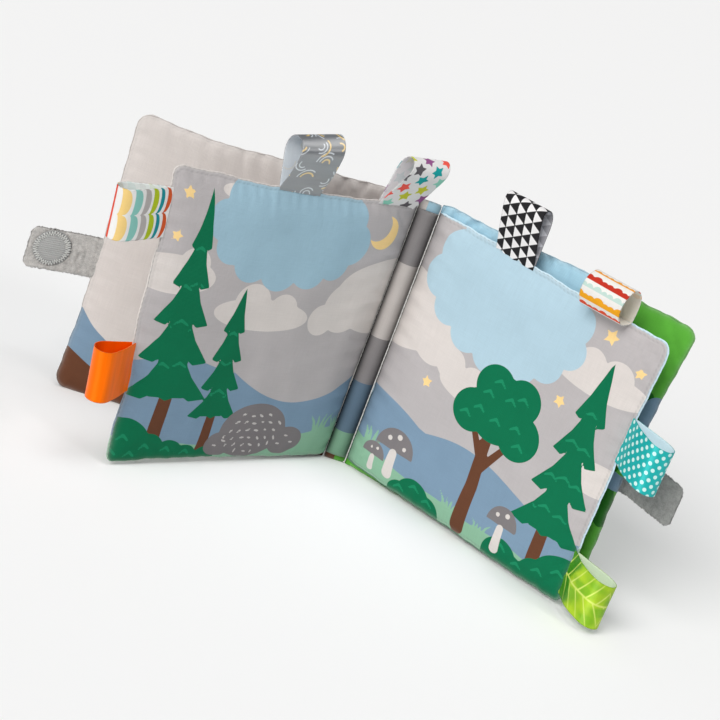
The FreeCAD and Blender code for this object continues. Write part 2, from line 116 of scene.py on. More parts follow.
def oval(x, y, cx, cy, a, b, deg=0.0):
    c, s = math.cos(math.radians(deg)), math.sin(math.radians(deg))
    u, v = (x - cx) * c + (y - cy) * s, -(x - cx) * s + (y - cy) * c
    k = np.hypot(u / a, v / b)
    g = np.hypot(u / a ** 2, v / b ** 2)
    return k * (1 - k) / np.maximum(g, 1e-6)


def many(*d):
    out = d[0]
    for k in d[1:]:
        out = np.maximum(out, k)
    return out


def stroke(x, y, pts):
    """Tapered stroke through (x, y, half width) points."""
    best = np.full(np.shape(x), -1e3)
    for (x0, y0, r0), (x1, y1, r1) in zip(pts[:-1], pts[1:]):
        dx, dy = x1 - x0, y1 - y0
        t = np.clip(((x - x0) * dx + (y - y0) * dy) / (dx * dx + dy * dy), 0, 1)
        best = np.maximum(best, r0 + (r1 - r0) * t - np.hypot(x - x0 - t * dx, y - y0 - t * dy))
    return best


def polygon(x, y, pts):
    """Signed distance to a closed outline."""
    pts = np.asarray(pts, float)
    q = np.roll(pts, -1, 0)
    d = np.full(np.shape(x), 1e9)
    inside = np.zeros(np.shape(x), bool)
    for (x0, y0), (x1, y1) in zip(pts, q):
        dx, dy = x1 - x0, y1 - y0
        t = np.clip(((x - x0) * dx + (y - y0) * dy) / max(dx * dx + dy * dy, 1e-9), 0, 1)
        d = np.minimum(d, np.hypot(x - x0 - t * dx, y - y0 - t * dy))
        if y0 != y1:
            hit = ((y0 > y) != (y1 > y)) & (x < dx * (y - y0) / (y1 - y0) + x0)
            inside ^= hit
    return np.where(inside, d, -d)


def star_points(cx, cy, r, turn=0.0, waist=0.45):
    a = np.arange(10) * math.pi / 5 + math.radians(turn)
    k = np.where(np.arange(10) % 2 == 0, r, r * waist)
    return np.stack([cx + k * np.sin(a), cy + k * np.cos(a)], -1)


def under(x, y, f, slope=1.0):
    return (f(x) - y) / slope


def puffs(x, y, items):
    return many(*[circle(x, y, *c) for c in items])


def fir(x, y, cx, base, top, half, tiers=4):
    """Plain stacked fir tree."""
    out = polygon(x, y, [(cx - half * 0.42, base), (cx + half * 0.42, base), (cx, top)])
    h = (top - base) / (tiers * 0.72 + 0.28)
    for i in range(tiers):
        b = base + i * h * 0.72
        hw = half * (1 - 0.19 * i)
        tip = (cx, b + h * 1.12)
        lo = b - h * 0.06
        pts = [tip, (cx + hw * 0.52, b + h * 0.42), (cx + hw, b), (cx + hw * 0.58, lo), (cx + hw * 0.34, b + h * 0.06),
               (cx, lo), (cx - hw * 0.34, b + h * 0.06), (cx - hw * 0.58, lo), (cx - hw, b), (cx - hw * 0.52, b + h * 0.42)]
        d = polygon(x, y, pts)
        out = np.maximum(out, d)
    return out


def tuft(x, y, cx, base, size, seed):
    """A few blades of grass."""
    rng = np.random.RandomState(seed)
    blades = []
    for k in range(4):
        lean = (k - 1.5) * 0.42 + rng.uniform(-0.12, 0.12)
        h = size * rng.uniform(0.7, 1.15)
        x0 = cx + (k - 1.5) * size * 0.16
        blades.append(stroke(x, y, [(x0, base - 2, size * 0.11), (x0 + lean * h * 0.35, base + h * 0.5, size * 0.075),
                                    (x0 + lean * h, base + h, 0.05)]))
    return many(*blades)


# ------------------------------------------------------------------ colours (linear reflectance)
def ink(r, g, b):
    return (r, g, b, 1.0)


SKY = ink(0.452, 0.426, 0.430)
CLOUD = ink(0.650, 0.603, 0.577)
HAZE = ink(0.415, 0.570, 0.660)
DUSK = ink(0.325, 0.490, 0.590)
SLATE = ink(0.190, 0.288, 0.395)
MINT = ink(0.245, 0.45, 0.31)
GREEN = ink(0.003, 0.150, 0.066)
GREEN2 = ink(0.010, 0.235, 0.110)
BROWN = ink(0.128, 0.050, 0.026)
STONE = ink(0.195, 0.180, 0.186)
PALE = ink(0.540, 0.512, 0.497)
YELLOW = ink(0.88, 0.63, 0.28)
GRASS = ink(0.105, 0.40, 0.045)
GRASS2 = ink(0.02, 0.145, 0.014)
POOL = ink(0.37, 0.59, 0.71)


def node(nt, kind, **kw):
    n = nt.nodes.new(kind)
    for k, v in kw.items():
        setattr(n, k, v)
    return n


def math_node(nt, op, a, b=None, c=None, clamp=False):
    n = node(nt, "ShaderNodeMath", operation=op, use_clamp=clamp)
    for i, v in enumerate((a, b, c)):
        if v is None:
            continue
        if isinstance(v, (int, float)):
            n.inputs[i].default_value = float(v)
        else:
            nt.links.new(v, n.inputs[i])
    return n.outputs[0]


def attr(nt, name):
    return node(nt, "ShaderNodeAttribute", attribute_name=name)


def mix_rgb(nt, fac, a, b, how="MIX"):
    n = node(nt, "ShaderNodeMix", data_type="RGBA", blend_type=how, clamp_factor=True)
    for sock, v in ((n.inputs[0], fac), (n.inputs[6], a), (n.inputs[7], b)):
        if isinstance(v, (int, float)):
            sock.default_value = float(v)
        elif isinstance(v, tuple):
            sock.default_value = v
        else:
            nt.links.new(v, sock)
    return n.outputs[2]


def noise(nt, vec, scale, detail=3.0, rough=0.5):
    n = node(nt, "ShaderNodeTexNoise", noise_dimensions="3D")
    n.inputs["Scale"].default_value = scale
    n.inputs["Detail"].default_value = detail
    n.inputs["Roughness"].default_value = rough
    nt.links.new(vec, n.inputs["Vector"])
    return n.outputs["Fac"]


def stretched(nt, vec, x, y, z=1.0):
    n = node(nt, "ShaderNodeVectorMath", operation="MULTIPLY")
    nt.links.new(vec, n.inputs[0])
    n.inputs[1].default_value = (x, y, z)
    return n.outputs[0]


def cloth(name, base, layers=(), rough=0.82, sheen=0.25, weave=0.62, weave_depth=0.10, slub=0.05, ribs=0.0,
          shine=0.35, wear=0.35, soft=0.16, mottle=0.04, fuzz=0.0, faded=0.0, grain=0.010, through=0.0, glow=None, painted_streak=0.0, satin=0.0, ior=1.5):
    """Printed cloth: base colour, then each (attribute, colour) field laid over it, with its weave and slubs.
    "flat" holds the cloth's own flat coordinates in mm, and "hem" how near a point is to a sewn edge."""
    m = bpy.data.materials.new(name)
    m.use_nodes = True
    nt = m.node_tree
    nt.nodes.clear()
    out = node(nt, "ShaderNodeOutputMaterial")
    bs = node(nt, "ShaderNodeBsdfPrincipled")
    nt.links.new(bs.outputs[0], out.inputs[0])
    bs.inputs["Roughness"].default_value = rough
    bs.inputs["Sheen Weight"].default_value = sheen
    bs.inputs["Sheen Roughness"].default_value = 0.5
    bs.inputs["Specular IOR Level"].default_value = shine
    bs.inputs["IOR"].default_value = ior
    if satin:
        # the floats spread the shine across the ribbon
        bs.inputs["Anisotropic"].default_value = satin
        turn_ = node(nt, "ShaderNodeVectorTransform", vector_type="VECTOR", convert_from="OBJECT", convert_to="WORLD")
        nt.links.new(attr(nt, "across").outputs["Vector"], turn_.inputs[0])
        nt.links.new(turn_.outputs[0], bs.inputs["Tangent"])
    if glow:
        bs.inputs["Specular Tint"].default_value = glow
    if through:
        bs.inputs["Subsurface Weight"].default_value = through
        bs.inputs["Subsurface Radius"].default_value = (1.0, 1.0, 1.0)
        bs.inputs["Subsurface Scale"].default_value = 0.9 * MM
    flat = attr(nt, "flat").outputs["Vector"]
    sep = node(nt, "ShaderNodeSeparateXYZ")
    nt.links.new(flat, sep.inputs[0])
    x, y = sep.outputs[0], sep.outputs[1]
    col = base
    for a, c in layers:
        f = math_node(nt, "MULTIPLY_ADD", attr(nt, a).outputs["Fac"], 1.0 / soft, 0.5, clamp=True)
        col = mix_rgb(nt, f, col, c)
    if faded:
        col = mix_rgb(nt, faded, col, base)
    # threads: a fine plain weave, and slubs that run along both ways of it
    k = 2 * math.pi / weave
    wx = math_node(nt, "SINE", math_node(nt, "MULTIPLY", x, k))
    wy = math_node(nt, "SINE", math_node(nt, "MULTIPLY", y, k))
    if ribs:
        kr = 2 * math.pi / ribs
        cross = math_node(nt, "SINE", math_node(nt, "MULTIPLY", x, kr))
        height = math_node(nt, "MULTIPLY_ADD", cross, 0.8, math_node(nt, "MULTIPLY", wy, 0.25))
    else:
        height = math_node(nt, "MULTIPLY", math_node(nt, "ADD", wx, wy), 0.5)
    slub_x = noise(nt, stretched(nt, flat, 0.10, 1.9), 1.0, 2.0)
    slub_y = noise(nt, stretched(nt, flat, 1.9, 0.10), 1.0, 2.0)
    slubs = math_node(nt, "ADD", slub_x, slub_y)
    broad = noise(nt, flat, 0.045, 3.0)
    # tone: 1 + weave + slubs + broad unevenness
    tone = math_node(nt, "MULTIPLY_ADD", height, grain, 1.0)
    tone = math_node(nt, "MULTIPLY_ADD", math_node(nt, "SUBTRACT", slubs, 1.0), slub * 2.2, tone)
    tone = math_node(nt, "MULTIPLY_ADD", math_node(nt, "SUBTRACT", broad, 0.5), mottle * 3.0, tone)
    if fuzz:
        fz = noise(nt, flat, 1.9, 5.0, 0.7)
        fz2 = noise(nt, flat, 0.42, 3.0, 0.6)
        tone = math_node(nt, "MULTIPLY_ADD", math_node(nt, "SUBTRACT", fz, 0.5), fuzz * 1.4, tone)
        tone = math_node(nt, "MULTIPLY_ADD", math_node(nt, "SUBTRACT", fz2, 0.5), fuzz * 0.9, tone)
        height = math_node(nt, "MULTIPLY_ADD", fz, 3.0, height)
    hem = attr(nt, "hem").outputs["Fac"]
    dash = math_node(nt, "SINE", math_node(nt, "MULTIPLY", math_node(nt, "ADD", x, y), 2 * math.pi / 2.7))
    dash = math_node(nt, "MULTIPLY_ADD", dash, 0.22, 0.45)
    tone = math_node(nt, "SUBTRACT", tone, math_node(nt, "MULTIPLY", hem, dash))
    if painted_streak:
        # painted highlight and shade: lighter and darker streaks across the ribbon, for the light its satin floats
        # catch
        st = noise(nt, stretched(nt, flat, 0.34, 0.022), 1.0, 3.0, 0.6)
        tone = math_node(nt, "MULTIPLY_ADD", math_node(nt, "SUBTRACT", st, 0.5), painted_streak * 2.0, tone)
    # painted shade: the "shade" attribute darkens the colour down in creases and seams
    tone = math_node(nt, "MULTIPLY", tone, math_node(nt, "SUBTRACT", 1.0, attr(nt, "shade").outputs["Fac"]))
    scaled = node(nt, "ShaderNodeVectorMath", operation="SCALE")
    if isinstance(col, tuple):
        scaled.inputs[0].default_value = col[:3]
    else:
        nt.links.new(col, scaled.inputs[0])
    nt.links.new(tone, scaled.inputs["Scale"])
    col = scaled.outputs[0]
    if wear:
        # ink thins where the cloth is turned over a seam
        rub = math_node(nt, "MULTIPLY", attr(nt, "rub").outputs["Fac"], noise(nt, flat, 0.9, 4.0, 0.7))
        rub = math_node(nt, "MULTIPLY", rub, wear, clamp=True)
        col = mix_rgb(nt, rub, col, (0.72, 0.71, 0.68, 1.0))
    nt.links.new(col, bs.inputs["Base Color"])
    rr = math_node(nt, "MULTIPLY_ADD", slubs, 0.10, rough - 0.10, clamp=True)
    nt.links.new(rr, bs.inputs["Roughness"])
    bump = node(nt, "ShaderNodeBump")
    bump.inputs["Strength"].default_value = 0.55
    bump.inputs["Distance"].default_value = weave_depth * MM
    hh = math_node(nt, "MULTIPLY_ADD", slubs, 1.1, height)
    nt.links.new(hh, bump.inputs["Height"])
    nt.links.new(bump.outputs[0], bs.inputs["Normal"])
    return m


# ------------------------------------------------------------------ mesh helpers
def new_object(name, verts_mm, faces, mats, face_mat=None, attrs=None, smooth=True):
    me = bpy.data.meshes.new(name)
    verts = np.asarray(verts_mm, float).reshape(-1, 3) * MM
    me.from_pydata(verts.tolist(), [], [tuple(int(i) for i in f) for f in faces])
    me.validate()
    for m in mats:
        me.materials.append(m)
    if face_mat is not None:
        me.polygons.foreach_set("material_index", np.asarray(face_mat, np.int32))
    me.polygons.foreach_set("use_smooth", np.full(len(me.polygons), smooth))
    for k, v in (attrs or {}).items():
        v = np.asarray(v, np.float32)
        if v.ndim == 2:
            a = me.attributes.new(k, "FLOAT_VECTOR", "POINT")
            a.data.foreach_set("vector", v.ravel())
        else:
            a = me.attributes.new(k, "FLOAT", "POINT")
            a.data.foreach_set("value", v)
    me.update()
    ob = bpy.data.objects.new(name, me)
    scene.collection.objects.link(ob)
    return ob


def quads(idx, flip=False):
    a, b, c, d = idx[:-1, :-1], idx[1:, :-1], idx[1:, 1:], idx[:-1, 1:]
    q = np.stack([a, b, c, d] if not flip else [a, d, c, b], -1)
    return q.reshape(-1, 4)


def steps(total, near, step):
    """Positions from 0 to total, close together at both ends."""
    near = np.asarray(near, float)
    inner = total - 2 * near[-1]
    n = max(2, int(round(inner / step)))
    mid = near[-1] + inner * np.arange(1, n) / n
    return np.concatenate([near, mid, (total - near)[::-1]])


def corner_map(r, z, w, h, rad=CORNER):
    """Bends the grid's two outer corners to the panel's round ones."""
    a = np.clip((r - (w - rad)) / rad, 0, 1)
    for sign in (1, -1):
        b = np.clip((z - (h - rad)) / rad if sign > 0 else (rad - z) / rad, 0, 1)
        inside = (a > 0) & (b > 0)
        rr = (w - rad) + rad * a * np.sqrt(1 - b * b / 2)
        zz = (h - rad) + rad * b * np.sqrt(1 - a * a / 2) if sign > 0 else rad - rad * b * np.sqrt(1 - a * a / 2)
        r, z = np.where(inside, rr, r), np.where(inside, zz, z)
    return r, z


def edge_distance(r, z, w, h, rad=CORNER):
    """Distance in from the outer, head and foot edges."""
    qx, qz = r - (w - rad), np.abs(z - h / 2) - (h / 2 - rad)
    return rad - np.hypot(np.maximum(qx, 0), np.maximum(qz, 0)) - np.minimum(np.maximum(qx, qz), 0)


def upsample(coarse, fr, fz):
    """Smooth cubic read of a coarse grid at fractional rows fr and columns fz."""
    def weights(t, n):
        i = np.clip(np.floor(t).astype(int), 0, n - 2)
        f = t - i
        w = np.stack([-0.5 * f + f ** 2 - 0.5 * f ** 3, 1 - 2.5 * f ** 2 + 1.5 * f ** 3, 0.5 * f + 2 * f ** 2 - 1.5 * f ** 3, -0.5 * f ** 2 + 0.5 * f ** 3], -1)
        m = np.zeros((len(t), n))
        for k in range(4):
            np.add.at(m, (np.arange(len(t)), np.clip(i + k - 1, 0, n - 1)), w[:, k])
        return m
    a, b = weights(fr, coarse.shape[0]), weights(fz, coarse.shape[1])
    return np.einsum("ia,abk,jb->ijk", a, coarse, b)


def simulate(pts_mm, faces, pinned, frames, pressure, grow, cap, seed_push=None):
    """Blows a closed panel up a little with Blender's cloth, its sewn outline held, and gives how far each point went, mm."""
    big = 0.01                                       # ten times real size, where the solver is at ease
    me = bpy.data.meshes.new("blow")
    me.from_pydata((pts_mm * big).tolist(), [], [tuple(int(i) for i in f) for f in faces])
    ob = bpy.data.objects.new("blow", me)
    scene.collection.objects.link(ob)
    vg = ob.vertex_groups.new(name="sewn")
    vg.add([int(i) for i in pinned], 1.0, "REPLACE")
    md = ob.modifiers.new("cloth", "CLOTH")
    st = md.settings
    st.quality = 6
    st.mass = 0.3
    st.tension_stiffness = st.compression_stiffness = 12
    st.shear_stiffness = 4
    st.bending_stiffness = 0.35
    st.air_damping = 2
    st.effector_weights.gravity = 0
    st.use_pressure = True
    st.uniform_pressure_force = pressure
    st.vertex_group_mass = "sewn"
    st.shrink_min = -grow
    md.collision_settings.use_collision = False
    md.collision_settings.use_self_collision = False
    md.point_cache.frame_start, md.point_cache.frame_end = 1, frames + 1
    for f in range(1, frames + 1):
        scene.frame_set(f)
    dg = bpy.context.evaluated_depsgraph_get()
    ev = ob.evaluated_get(dg)
    got = ev.to_mesh()
    co = np.empty(len(got.vertices) * 3, np.float32)
    got.vertices.foreach_get("co", co)
    co = co.reshape(-1, 3).astype(float) / big
    ev.to_mesh_clear()
    scene.frame_set(1)
    bpy.data.objects.remove(ob)
    bpy.data.meshes.remove(me)
    move = co - pts_mm
    size = np.linalg.norm(move, axis=1, keepdims=True)
    return move * (cap * np.tanh(size / cap) / np.maximum(size, 1e-6))


# ------------------------------------------------------------------ the padded panels
NEAR = [0, 0.35, 0.8, 1.35, 2.0, 2.8, 3.7]
R0 = 0.4


def pillow(L, r, z):
    """Heights of a panel's two faces off its hinge plane, without its bow."""
    w, h = L["w"], L["h"]
    d = np.maximum(edge_distance(r, z, w, h, L["rad"]), 0)
    sp = 1 - 0.55 * np.exp(-(np.maximum(r - R0, 0) / 2.6) ** 1.1) - 0.45 * np.exp(-(np.maximum(r - R0, 0) / 8.0) ** 1.3)
    fat = (1 - np.exp(-(d / 11.0) ** 1.15)) * (0.55 + 0.45 * np.sqrt(np.clip(4 * (r / w) * (1 - r / w), 0, 1)))
    turn_in = 1 - np.exp(-d / 0.9)
    out_, in_ = 2.25, 0.25
    outer = 1.5 + (out_ - 1.5) * turn_in + 2.1 * fat
    inner = in_ - 1.0 * fat
    outer = outer - 0.32 * np.exp(-((d - 1.15) / 0.45) ** 2)      # where the hem inside stops
    outer = 0.25 + (outer - 0.25) * sp
    inner = 0.02 + (inner - 0.02) * sp
    return d, sp, fat, outer, inner


def room_between(s, r, z_abs):
    """Gap between the bowed planes of a page and its cover, with the cover turned on to the page as far as it goes."""
    side = "left" if s < 0 else "right"
    P, C = LEAVES["page_" + side], LEAVES["cover_" + side]
    vp, vc = np.clip((z_abs - P["z0"]) / P["h"], 0, 1), np.clip((z_abs - C["z0"]) / C["h"], 0, 1)
    gap = P["turn"] - P["twist"] * (2 * vp - 1) - (C["turn"] - C["twist"] * (2 * vc - 1)) - (14.0 if s < 0 else 3.5)
    return r * np.sin(np.radians(gap)) + bow(P, r, vp * P["h"]) - bow(C, r, vc * C["h"])


def settle(L, pts, r, z, room, side):
    """Keeps a face on its own side of the middle of the room; side 1 is the face towards the reader."""
    e, n = axes(L, np.clip(z / L["h"], -0.03, 1.03))
    off = ((pts - [L["s"] * AX, AY, 0]) * n).sum(-1) - bow(L, r, z)
    d = room / 2 - 0.03 - side * off
    return pts - side * n * (((d + np.sqrt(d * d + 0.016)) / 2) - d)[..., None]


def panel(key, front_print, back_print, front_mat, back_mat, fades=None):
    L = LEAVES[key]
    s, w, h, seed = L["s"], L["w"], L["h"], L["seed"]
    rr = R0 + steps(w - R0, NEAR, 1.08)
    zz = steps(h, NEAR, 1.08)
    R, Z = np.meshgrid(rr, zz, indexing="ij")
    R, Z = corner_map(R, Z, w, h, L["rad"])

    def heights(R, Z):
        d, sp, fat, outer, inner = pillow(L, R, Z)
        # puckers that run in from each sewn edge, and slow unevenness of the padding
        def edge(t, depth, length, amp, lens, k):
            f = waves(seed * 7 + k, lens, [1.0, 0.7, 0.5])
            g = f(t + 0.25 * depth) * 0.6
            return amp * g * np.exp(-depth / length) * (1 - np.exp(-depth / 1.6))
        def all_edges(k):
            q = edge(Z, R, 17.0, L.get("gather", 0.50), [9.5, 14.0, 23.0], k)
            q = q + edge(Z, w - R, 7.5, 0.30, [8.0, 13.0, 29.0], k + 1)
            if L["page"]:
                q = q + edge(R, h - Z, 6.5, 0.19, [6.5, 11.5, 31.0], k + 2)
            else:
                q = q + edge(R, h - Z, 10.0, 0.5 + 1.9 * np.exp(-(R / 60.0) ** 2), [9.5, 15.0, 31.0], k + 2)
            q = q + edge(R, Z, 7.5, 0.26, [9.0, 15.0, 27.0], k + 3)
            return q
        slow = field(seed, 62.0)
        mid = field(seed + 1, 26.0)
        f = outer + all_edges(0) + fat * (0.45 * slow(R, Z) + 0.16 * mid(R, Z))
        slow2, mid2 = field(seed + 2, 58.0), field(seed + 3, 24.0)
        b = inner - all_edges(10) * 0.8 - fat * (0.35 * slow2(R, Z) + 0.14 * mid2(R, Z))
        # sharp little folds that the head seam draws into the lining
        top = h - Z
        for r0, deep_, lean_ in L.get("folds", ()):
            b = b + deep_ * np.exp(-((R - r0 - lean_ * top) / 1.15) ** 2) * np.exp(-top / 6.5) * (1 - np.exp(-(top + 0.4) / 1.2))
        return d, sp, fat, f, b

    d, sp, fat, far, near = heights(R, Z)
    B = bow(L, R, Z)
    if L["page"]:
        front_n, back_n = far + B, near + B
    else:
        front_n, back_n = -near + B, -far + B
    dr, dz = outline(L, R, Z)
    front = at(L, R + dr, Z + dz, front_n)
    back = at(L, R + dr, Z + dz, back_n)

    # cloth pass on a coarser copy of the panel
    nc = 61
    cr, cz = np.linspace(R0, w, nc), np.linspace(0, h, nc)
    CR, CZ = np.meshgrid(cr, cz, indexing="ij")
    CR, CZ = corner_map(CR, CZ, w, h, L["rad"])
    cd, csp, cfat, cf, cb = heights(CR, CZ)
    CB = bow(L, CR, CZ)
    cfn, cbn = (cf + CB, cb + CB) if L["page"] else (-cb + CB, -cf + CB)
    fp, bp = at(L, CR, CZ, cfn), at(L, CR, CZ, cbn)
    ids = np.arange(nc * nc).reshape(nc, nc)
    rim = np.zeros((nc, nc), bool)
    rim[0, :] = rim[-1, :] = rim[:, 0] = rim[:, -1] = True
    pts = np.concatenate([fp.reshape(-1, 3), bp.reshape(-1, 3)])
    ring = np.concatenate([ids[:-1, 0], ids[-1, :-1], ids[::-1][:-1, -1], ids[0, ::-1][:-1]])
    nxt = np.roll(ring, -1)
    wall = np.stack([ring, nxt, nxt + nc * nc, ring + nc * nc], -1)
    fs = np.concatenate([quads(ids, flip=s < 0), quads(ids + nc * nc, flip=s > 0), wall if s > 0 else wall[:, ::-1]])
    pins = np.concatenate([ids[rim], ids[rim] + nc * nc])
    move = simulate(pts, fs, pins, 14, L.get("blow", 2.2), L.get("grow", 0.005), 1.5)
    mf = move[: nc * nc].reshape(nc, nc, 3)
    mb = move[nc * nc:].reshape(nc, nc, 3)
    fr = (rr - R0) / (w - R0) * (nc - 1)
    fz = zz / h * (nc - 1)
    front = front + upsample(mf, fr, fz)
    back = back + upsample(mb, fr, fz)

    # page and cover press on each other but don't pass through, also with the cover turned fully on to the page
    room = room_between(s, R, L["z0"] + Z)
    if L["page"]:
        back = settle(L, back, R, Z, room, -1)
    else:
        loose = np.clip((L["z0"] + Z - LIFT - H_PAGE - 0.3) / 1.5, 0, 1) * (np.clip((R - 34) / 4, 0, 1) if s < 0 else 1)
        front = settle(L, front, R, Z, room + 6.0 * loose, 1)

    nr, nz = len(rr), len(zz)
    N = nr * nz
    ids = np.arange(N).reshape(nr, nz)
    ring_ij = [(i, 0) for i in range(nr - 1)] + [(nr - 1, j) for j in range(nz - 1)] + \
              [(i, nz - 1) for i in range(nr - 1, 0, -1)] + [(0, j) for j in range(nz - 1, 0, -1)]
    ri = np.array([i for i, _ in ring_ij])
    rj = np.array([j for _, j in ring_ij])
    pr, pz = R[ri, rj], Z[ri, rj]
    pdr, pdz = dr[ri, rj], dz[ri, rj]
    # outward direction along the rim, in the flat
    ox, oz = np.zeros(len(ri)), np.zeros(len(ri))
    ox[ri == nr - 1] = 1.0
    oz[rj == 0] = -1.0
    oz[rj == nz - 1] = 1.0
    rad = L["rad"]
    for zc, sg in ((rad, -1), (h - rad, 1)):
        c = (pr > w - rad) & ((pz - zc) * sg > 0)
        ux, uz = pr - (w - rad), pz - zc
        ln = np.maximum(np.hypot(ux, uz), 1e-6)
        ox, oz = np.where(c, ux / ln, ox), np.where(c, uz / ln, oz)
    ox[ri == 0] = 0.0
    oz[(ri == 0) & (rj != 0) & (rj != nz - 1)] = 0.0
    free = np.clip((pr - R0) / 4.0, 0, 1)
    lip = L["lip"]
    wob = waves(seed * 3 + 1, [2.6, 5.3, 11.0], [0.5, 0.5, 0.4])(np.arange(len(ri)) * 1.08) * 0.08
    rings = []
    if L["page"]:
        prof = [(-0.42, 1.30, 0.95), (0.10, 1.18, 0.5), (lip * 0.75, 1.02, 0.1), (lip, 0.80, 0.0), (lip * 0.8, 0.52, 0.0), (lip * 0.3, 0.33, 0.1)]
    else:
        prof = [(0.30, -0.28, 0.15), (lip * 0.95, -0.5, 0.1), (lip, -0.85, 0.1), (0.15, -1.12, 0.5), (-0.42, -1.26, 0.95), (0.12, -1.42, 0.4), (0.18, -1.5, 0.1)]
    Bp = bow(L, pr, pz)
    for a, nn, hm in prof:
        aa = (a + (wob if a > 0 else 0)) * free
        flatn = nn * np.clip((pr - R0) / 3.0, 0.25, 1)
        rings.append((at(L, pr + pdr + ox * aa, pz + pdz + oz * aa, flatn + Bp), hm, pr + ox * max(a, 0), pz + oz * max(a, 0)))
    K = len(rings)
    P = len(ri)
    verts = [front.reshape(-1, 3), back.reshape(-1, 3)] + [q[0] for q in rings]
    V = np.concatenate(verts)
    fi = ids[ri, rj]
    bi = fi + N
    chain = [fi] + [2 * N + k * P + np.arange(P) for k in range(K)] + [bi]
    faces, fmat = [quads(ids, flip=s < 0), quads(ids + N, flip=s > 0)], []
    fmat = [np.zeros(len(faces[0]), int), np.ones(len(faces[1]), int)]
    change = 1 if L["page"] else 5                    # where the front cloth is sewn to the back cloth
    for k in range(K + 1):
        a, b = chain[k], chain[k + 1]
        q = np.stack([a, np.roll(a, -1), np.roll(b, -1), b], -1)
        faces.append(q if s > 0 else q[:, ::-1])
        fmat.append(np.full(P, 0 if k < change else 1))
    faces = np.concatenate(faces)
    fmat = np.concatenate(fmat)
    flat_f = np.stack([R, Z, np.zeros_like(R)], -1).reshape(-1, 3)
    flat_b = flat_f + np.array([0, 0, 31.0])
    flat_r = np.concatenate([np.stack([q[2], q[3], np.full(P, 31.0)], -1) for q in rings])
    flat = np.concatenate([flat_f, flat_b, flat_r])
    hem = np.zeros(len(V))
    hem[2 * N:] = np.repeat([q[1] for q in rings], P)
    dd = np.concatenate([d.ravel(), d.ravel(), np.zeros(K * P)])
    # a faint dashed dark line along the furrow where the hem inside stops, and painted shade down in the spine crease
    hem[: 2 * N] += L.get("line", 0.36 if L["page"] else 0.16) * np.exp(-((dd[: 2 * N] - 1.15) / 0.42) ** 2) * np.tile(np.clip((R.ravel() - 4) / 4, 0, 1) * np.where(h - Z.ravel() < 3.0, 1.0, L.get("plain", 1.0)), 2)
    shade = np.zeros(len(V))
    shade[: 2 * N] = 0.40 * np.exp(-(np.tile(R.ravel(), 2) / 1.1) ** 2)
    # the front's painted crease shade: strong at the stitches, and a wider fall-off further out
    crease_shade_near, crease_shade_wide = L.get("crease", (0.40, 0.10))
    shade[:N] += crease_shade_near * np.exp(-R.ravel() / 1.2) + crease_shade_wide * np.exp(-(R.ravel() / 5.0) ** 1.3)
    shade = np.clip(shade, 0, 0.9)
    rub = np.exp(-dd / 0.8)
    rub[: 2 * N] *= (np.concatenate([R.ravel(), R.ravel()]) > 4)
    n_layers = max(len(front_print), len(back_print))
    attrs = {"flat": flat, "hem": hem, "rub": rub, "shade": shade}
    X, Y = flat[:, 0], flat[:, 1]
    is_front = np.zeros(len(V), bool)
    is_front[:N] = True
    is_front[2 * N: 2 * N + change * P] = True
    for k in range(n_layers):
        v = np.full(len(V), -5.0)
        if k < len(front_print):
            v[is_front] = np.clip(front_print[k](X[is_front], Y[is_front]), -5, 5)
        if k < len(back_print):
            v[~is_front] = np.clip(back_print[k](X[~is_front], Y[~is_front]), -5, 5)
        attrs["k%d" % k] = v
    ob = new_object(key + "_cloth", V, faces, [front_mat, back_mat], fmat, attrs)
    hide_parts(key)
    return ob


def run(t, pts):
    """Smooth line through a few measured points."""
    g = np.arange(-12.0, 175.0, 0.5)
    v = np.interp(g, *np.array(sorted(pts)).T)
    k = np.exp(-0.5 * (np.arange(-24, 25) * 0.5 / 4.0) ** 2)
    return np.interp(t, g, np.convolve(np.pad(v, 24, "edge"), k / k.sum(), "valid"))


OUTLINES = {
    ("page_left", "head"): [(0, 0.9), (30, 0.6), (49, 0.0), (69, -0.2), (105, -0.6), (130, 1.0), (150, 1.1)],
    ("page_left", "outer"): [(4, 1.9), (22, 1.9), (28, 0.2), (38, -1.9), (60, 0.8), (74, 1.5), (95, 0.6), (107, 0.2), (119, -1.3), (132, -0.7), (148, 0.4)],
    ("page_left", "foot"): [(0, 0.0), (20, -0.5), (60, 0.4), (99, 0.9), (126, 0.6), (149, -0.5)],
    ("page_right", "head"): [(2, 1.4), (25, 1.4), (41, 1.0), (68, 0.0), (92, -1.0), (135, -0.7), (150, -0.4)],
    ("page_right", "outer"): [(3, 1.3), (28, 0.0), (65, -0.1), (85, -0.2), (109, 0.0), (118, 0.8), (143, 1.8), (149, 1.5)],
    ("page_right", "foot"): [(0, 1.4), (15, 1.0), (33, 0.5), (74, 0.6), (111, -0.3), (135, 0.4), (150, 0.6)],
    ("cover_left", "head"): [(0, 0.2), (20, 0.9), (46, 0.7), (81, 0.3), (96, -0.7), (115, -1.6), (126, -1.2), (148, 0.4)],
    ("cover_left", "outer"): [(6, 0.4), (22, -0.3), (46, -1.4), (65, -1.1), (88, -1.4), (120, -0.8), (155, 0.5)],
    ("cover_left", "foot"): [(0, 0.2), (120, 0.4), (139, 0.2), (152, 0.4)],
    ("cover_right", "foot"): [(0, 0.3), (60, 0.2), (120, 0.5), (152, 0.4)],
    ("cover_right", "head"): [(0, 0.8), (8, 1.2), (28, 0.1), (61, 0.2), (90, 1.4), (123, 0.7), (151, 1.0)],
    ("cover_right", "outer"): [(5, -1.0), (36, -2.2), (66, -3.4), (109, -2.8), (125, -2.0), (138, -0.8), (158, 0.5)],
}


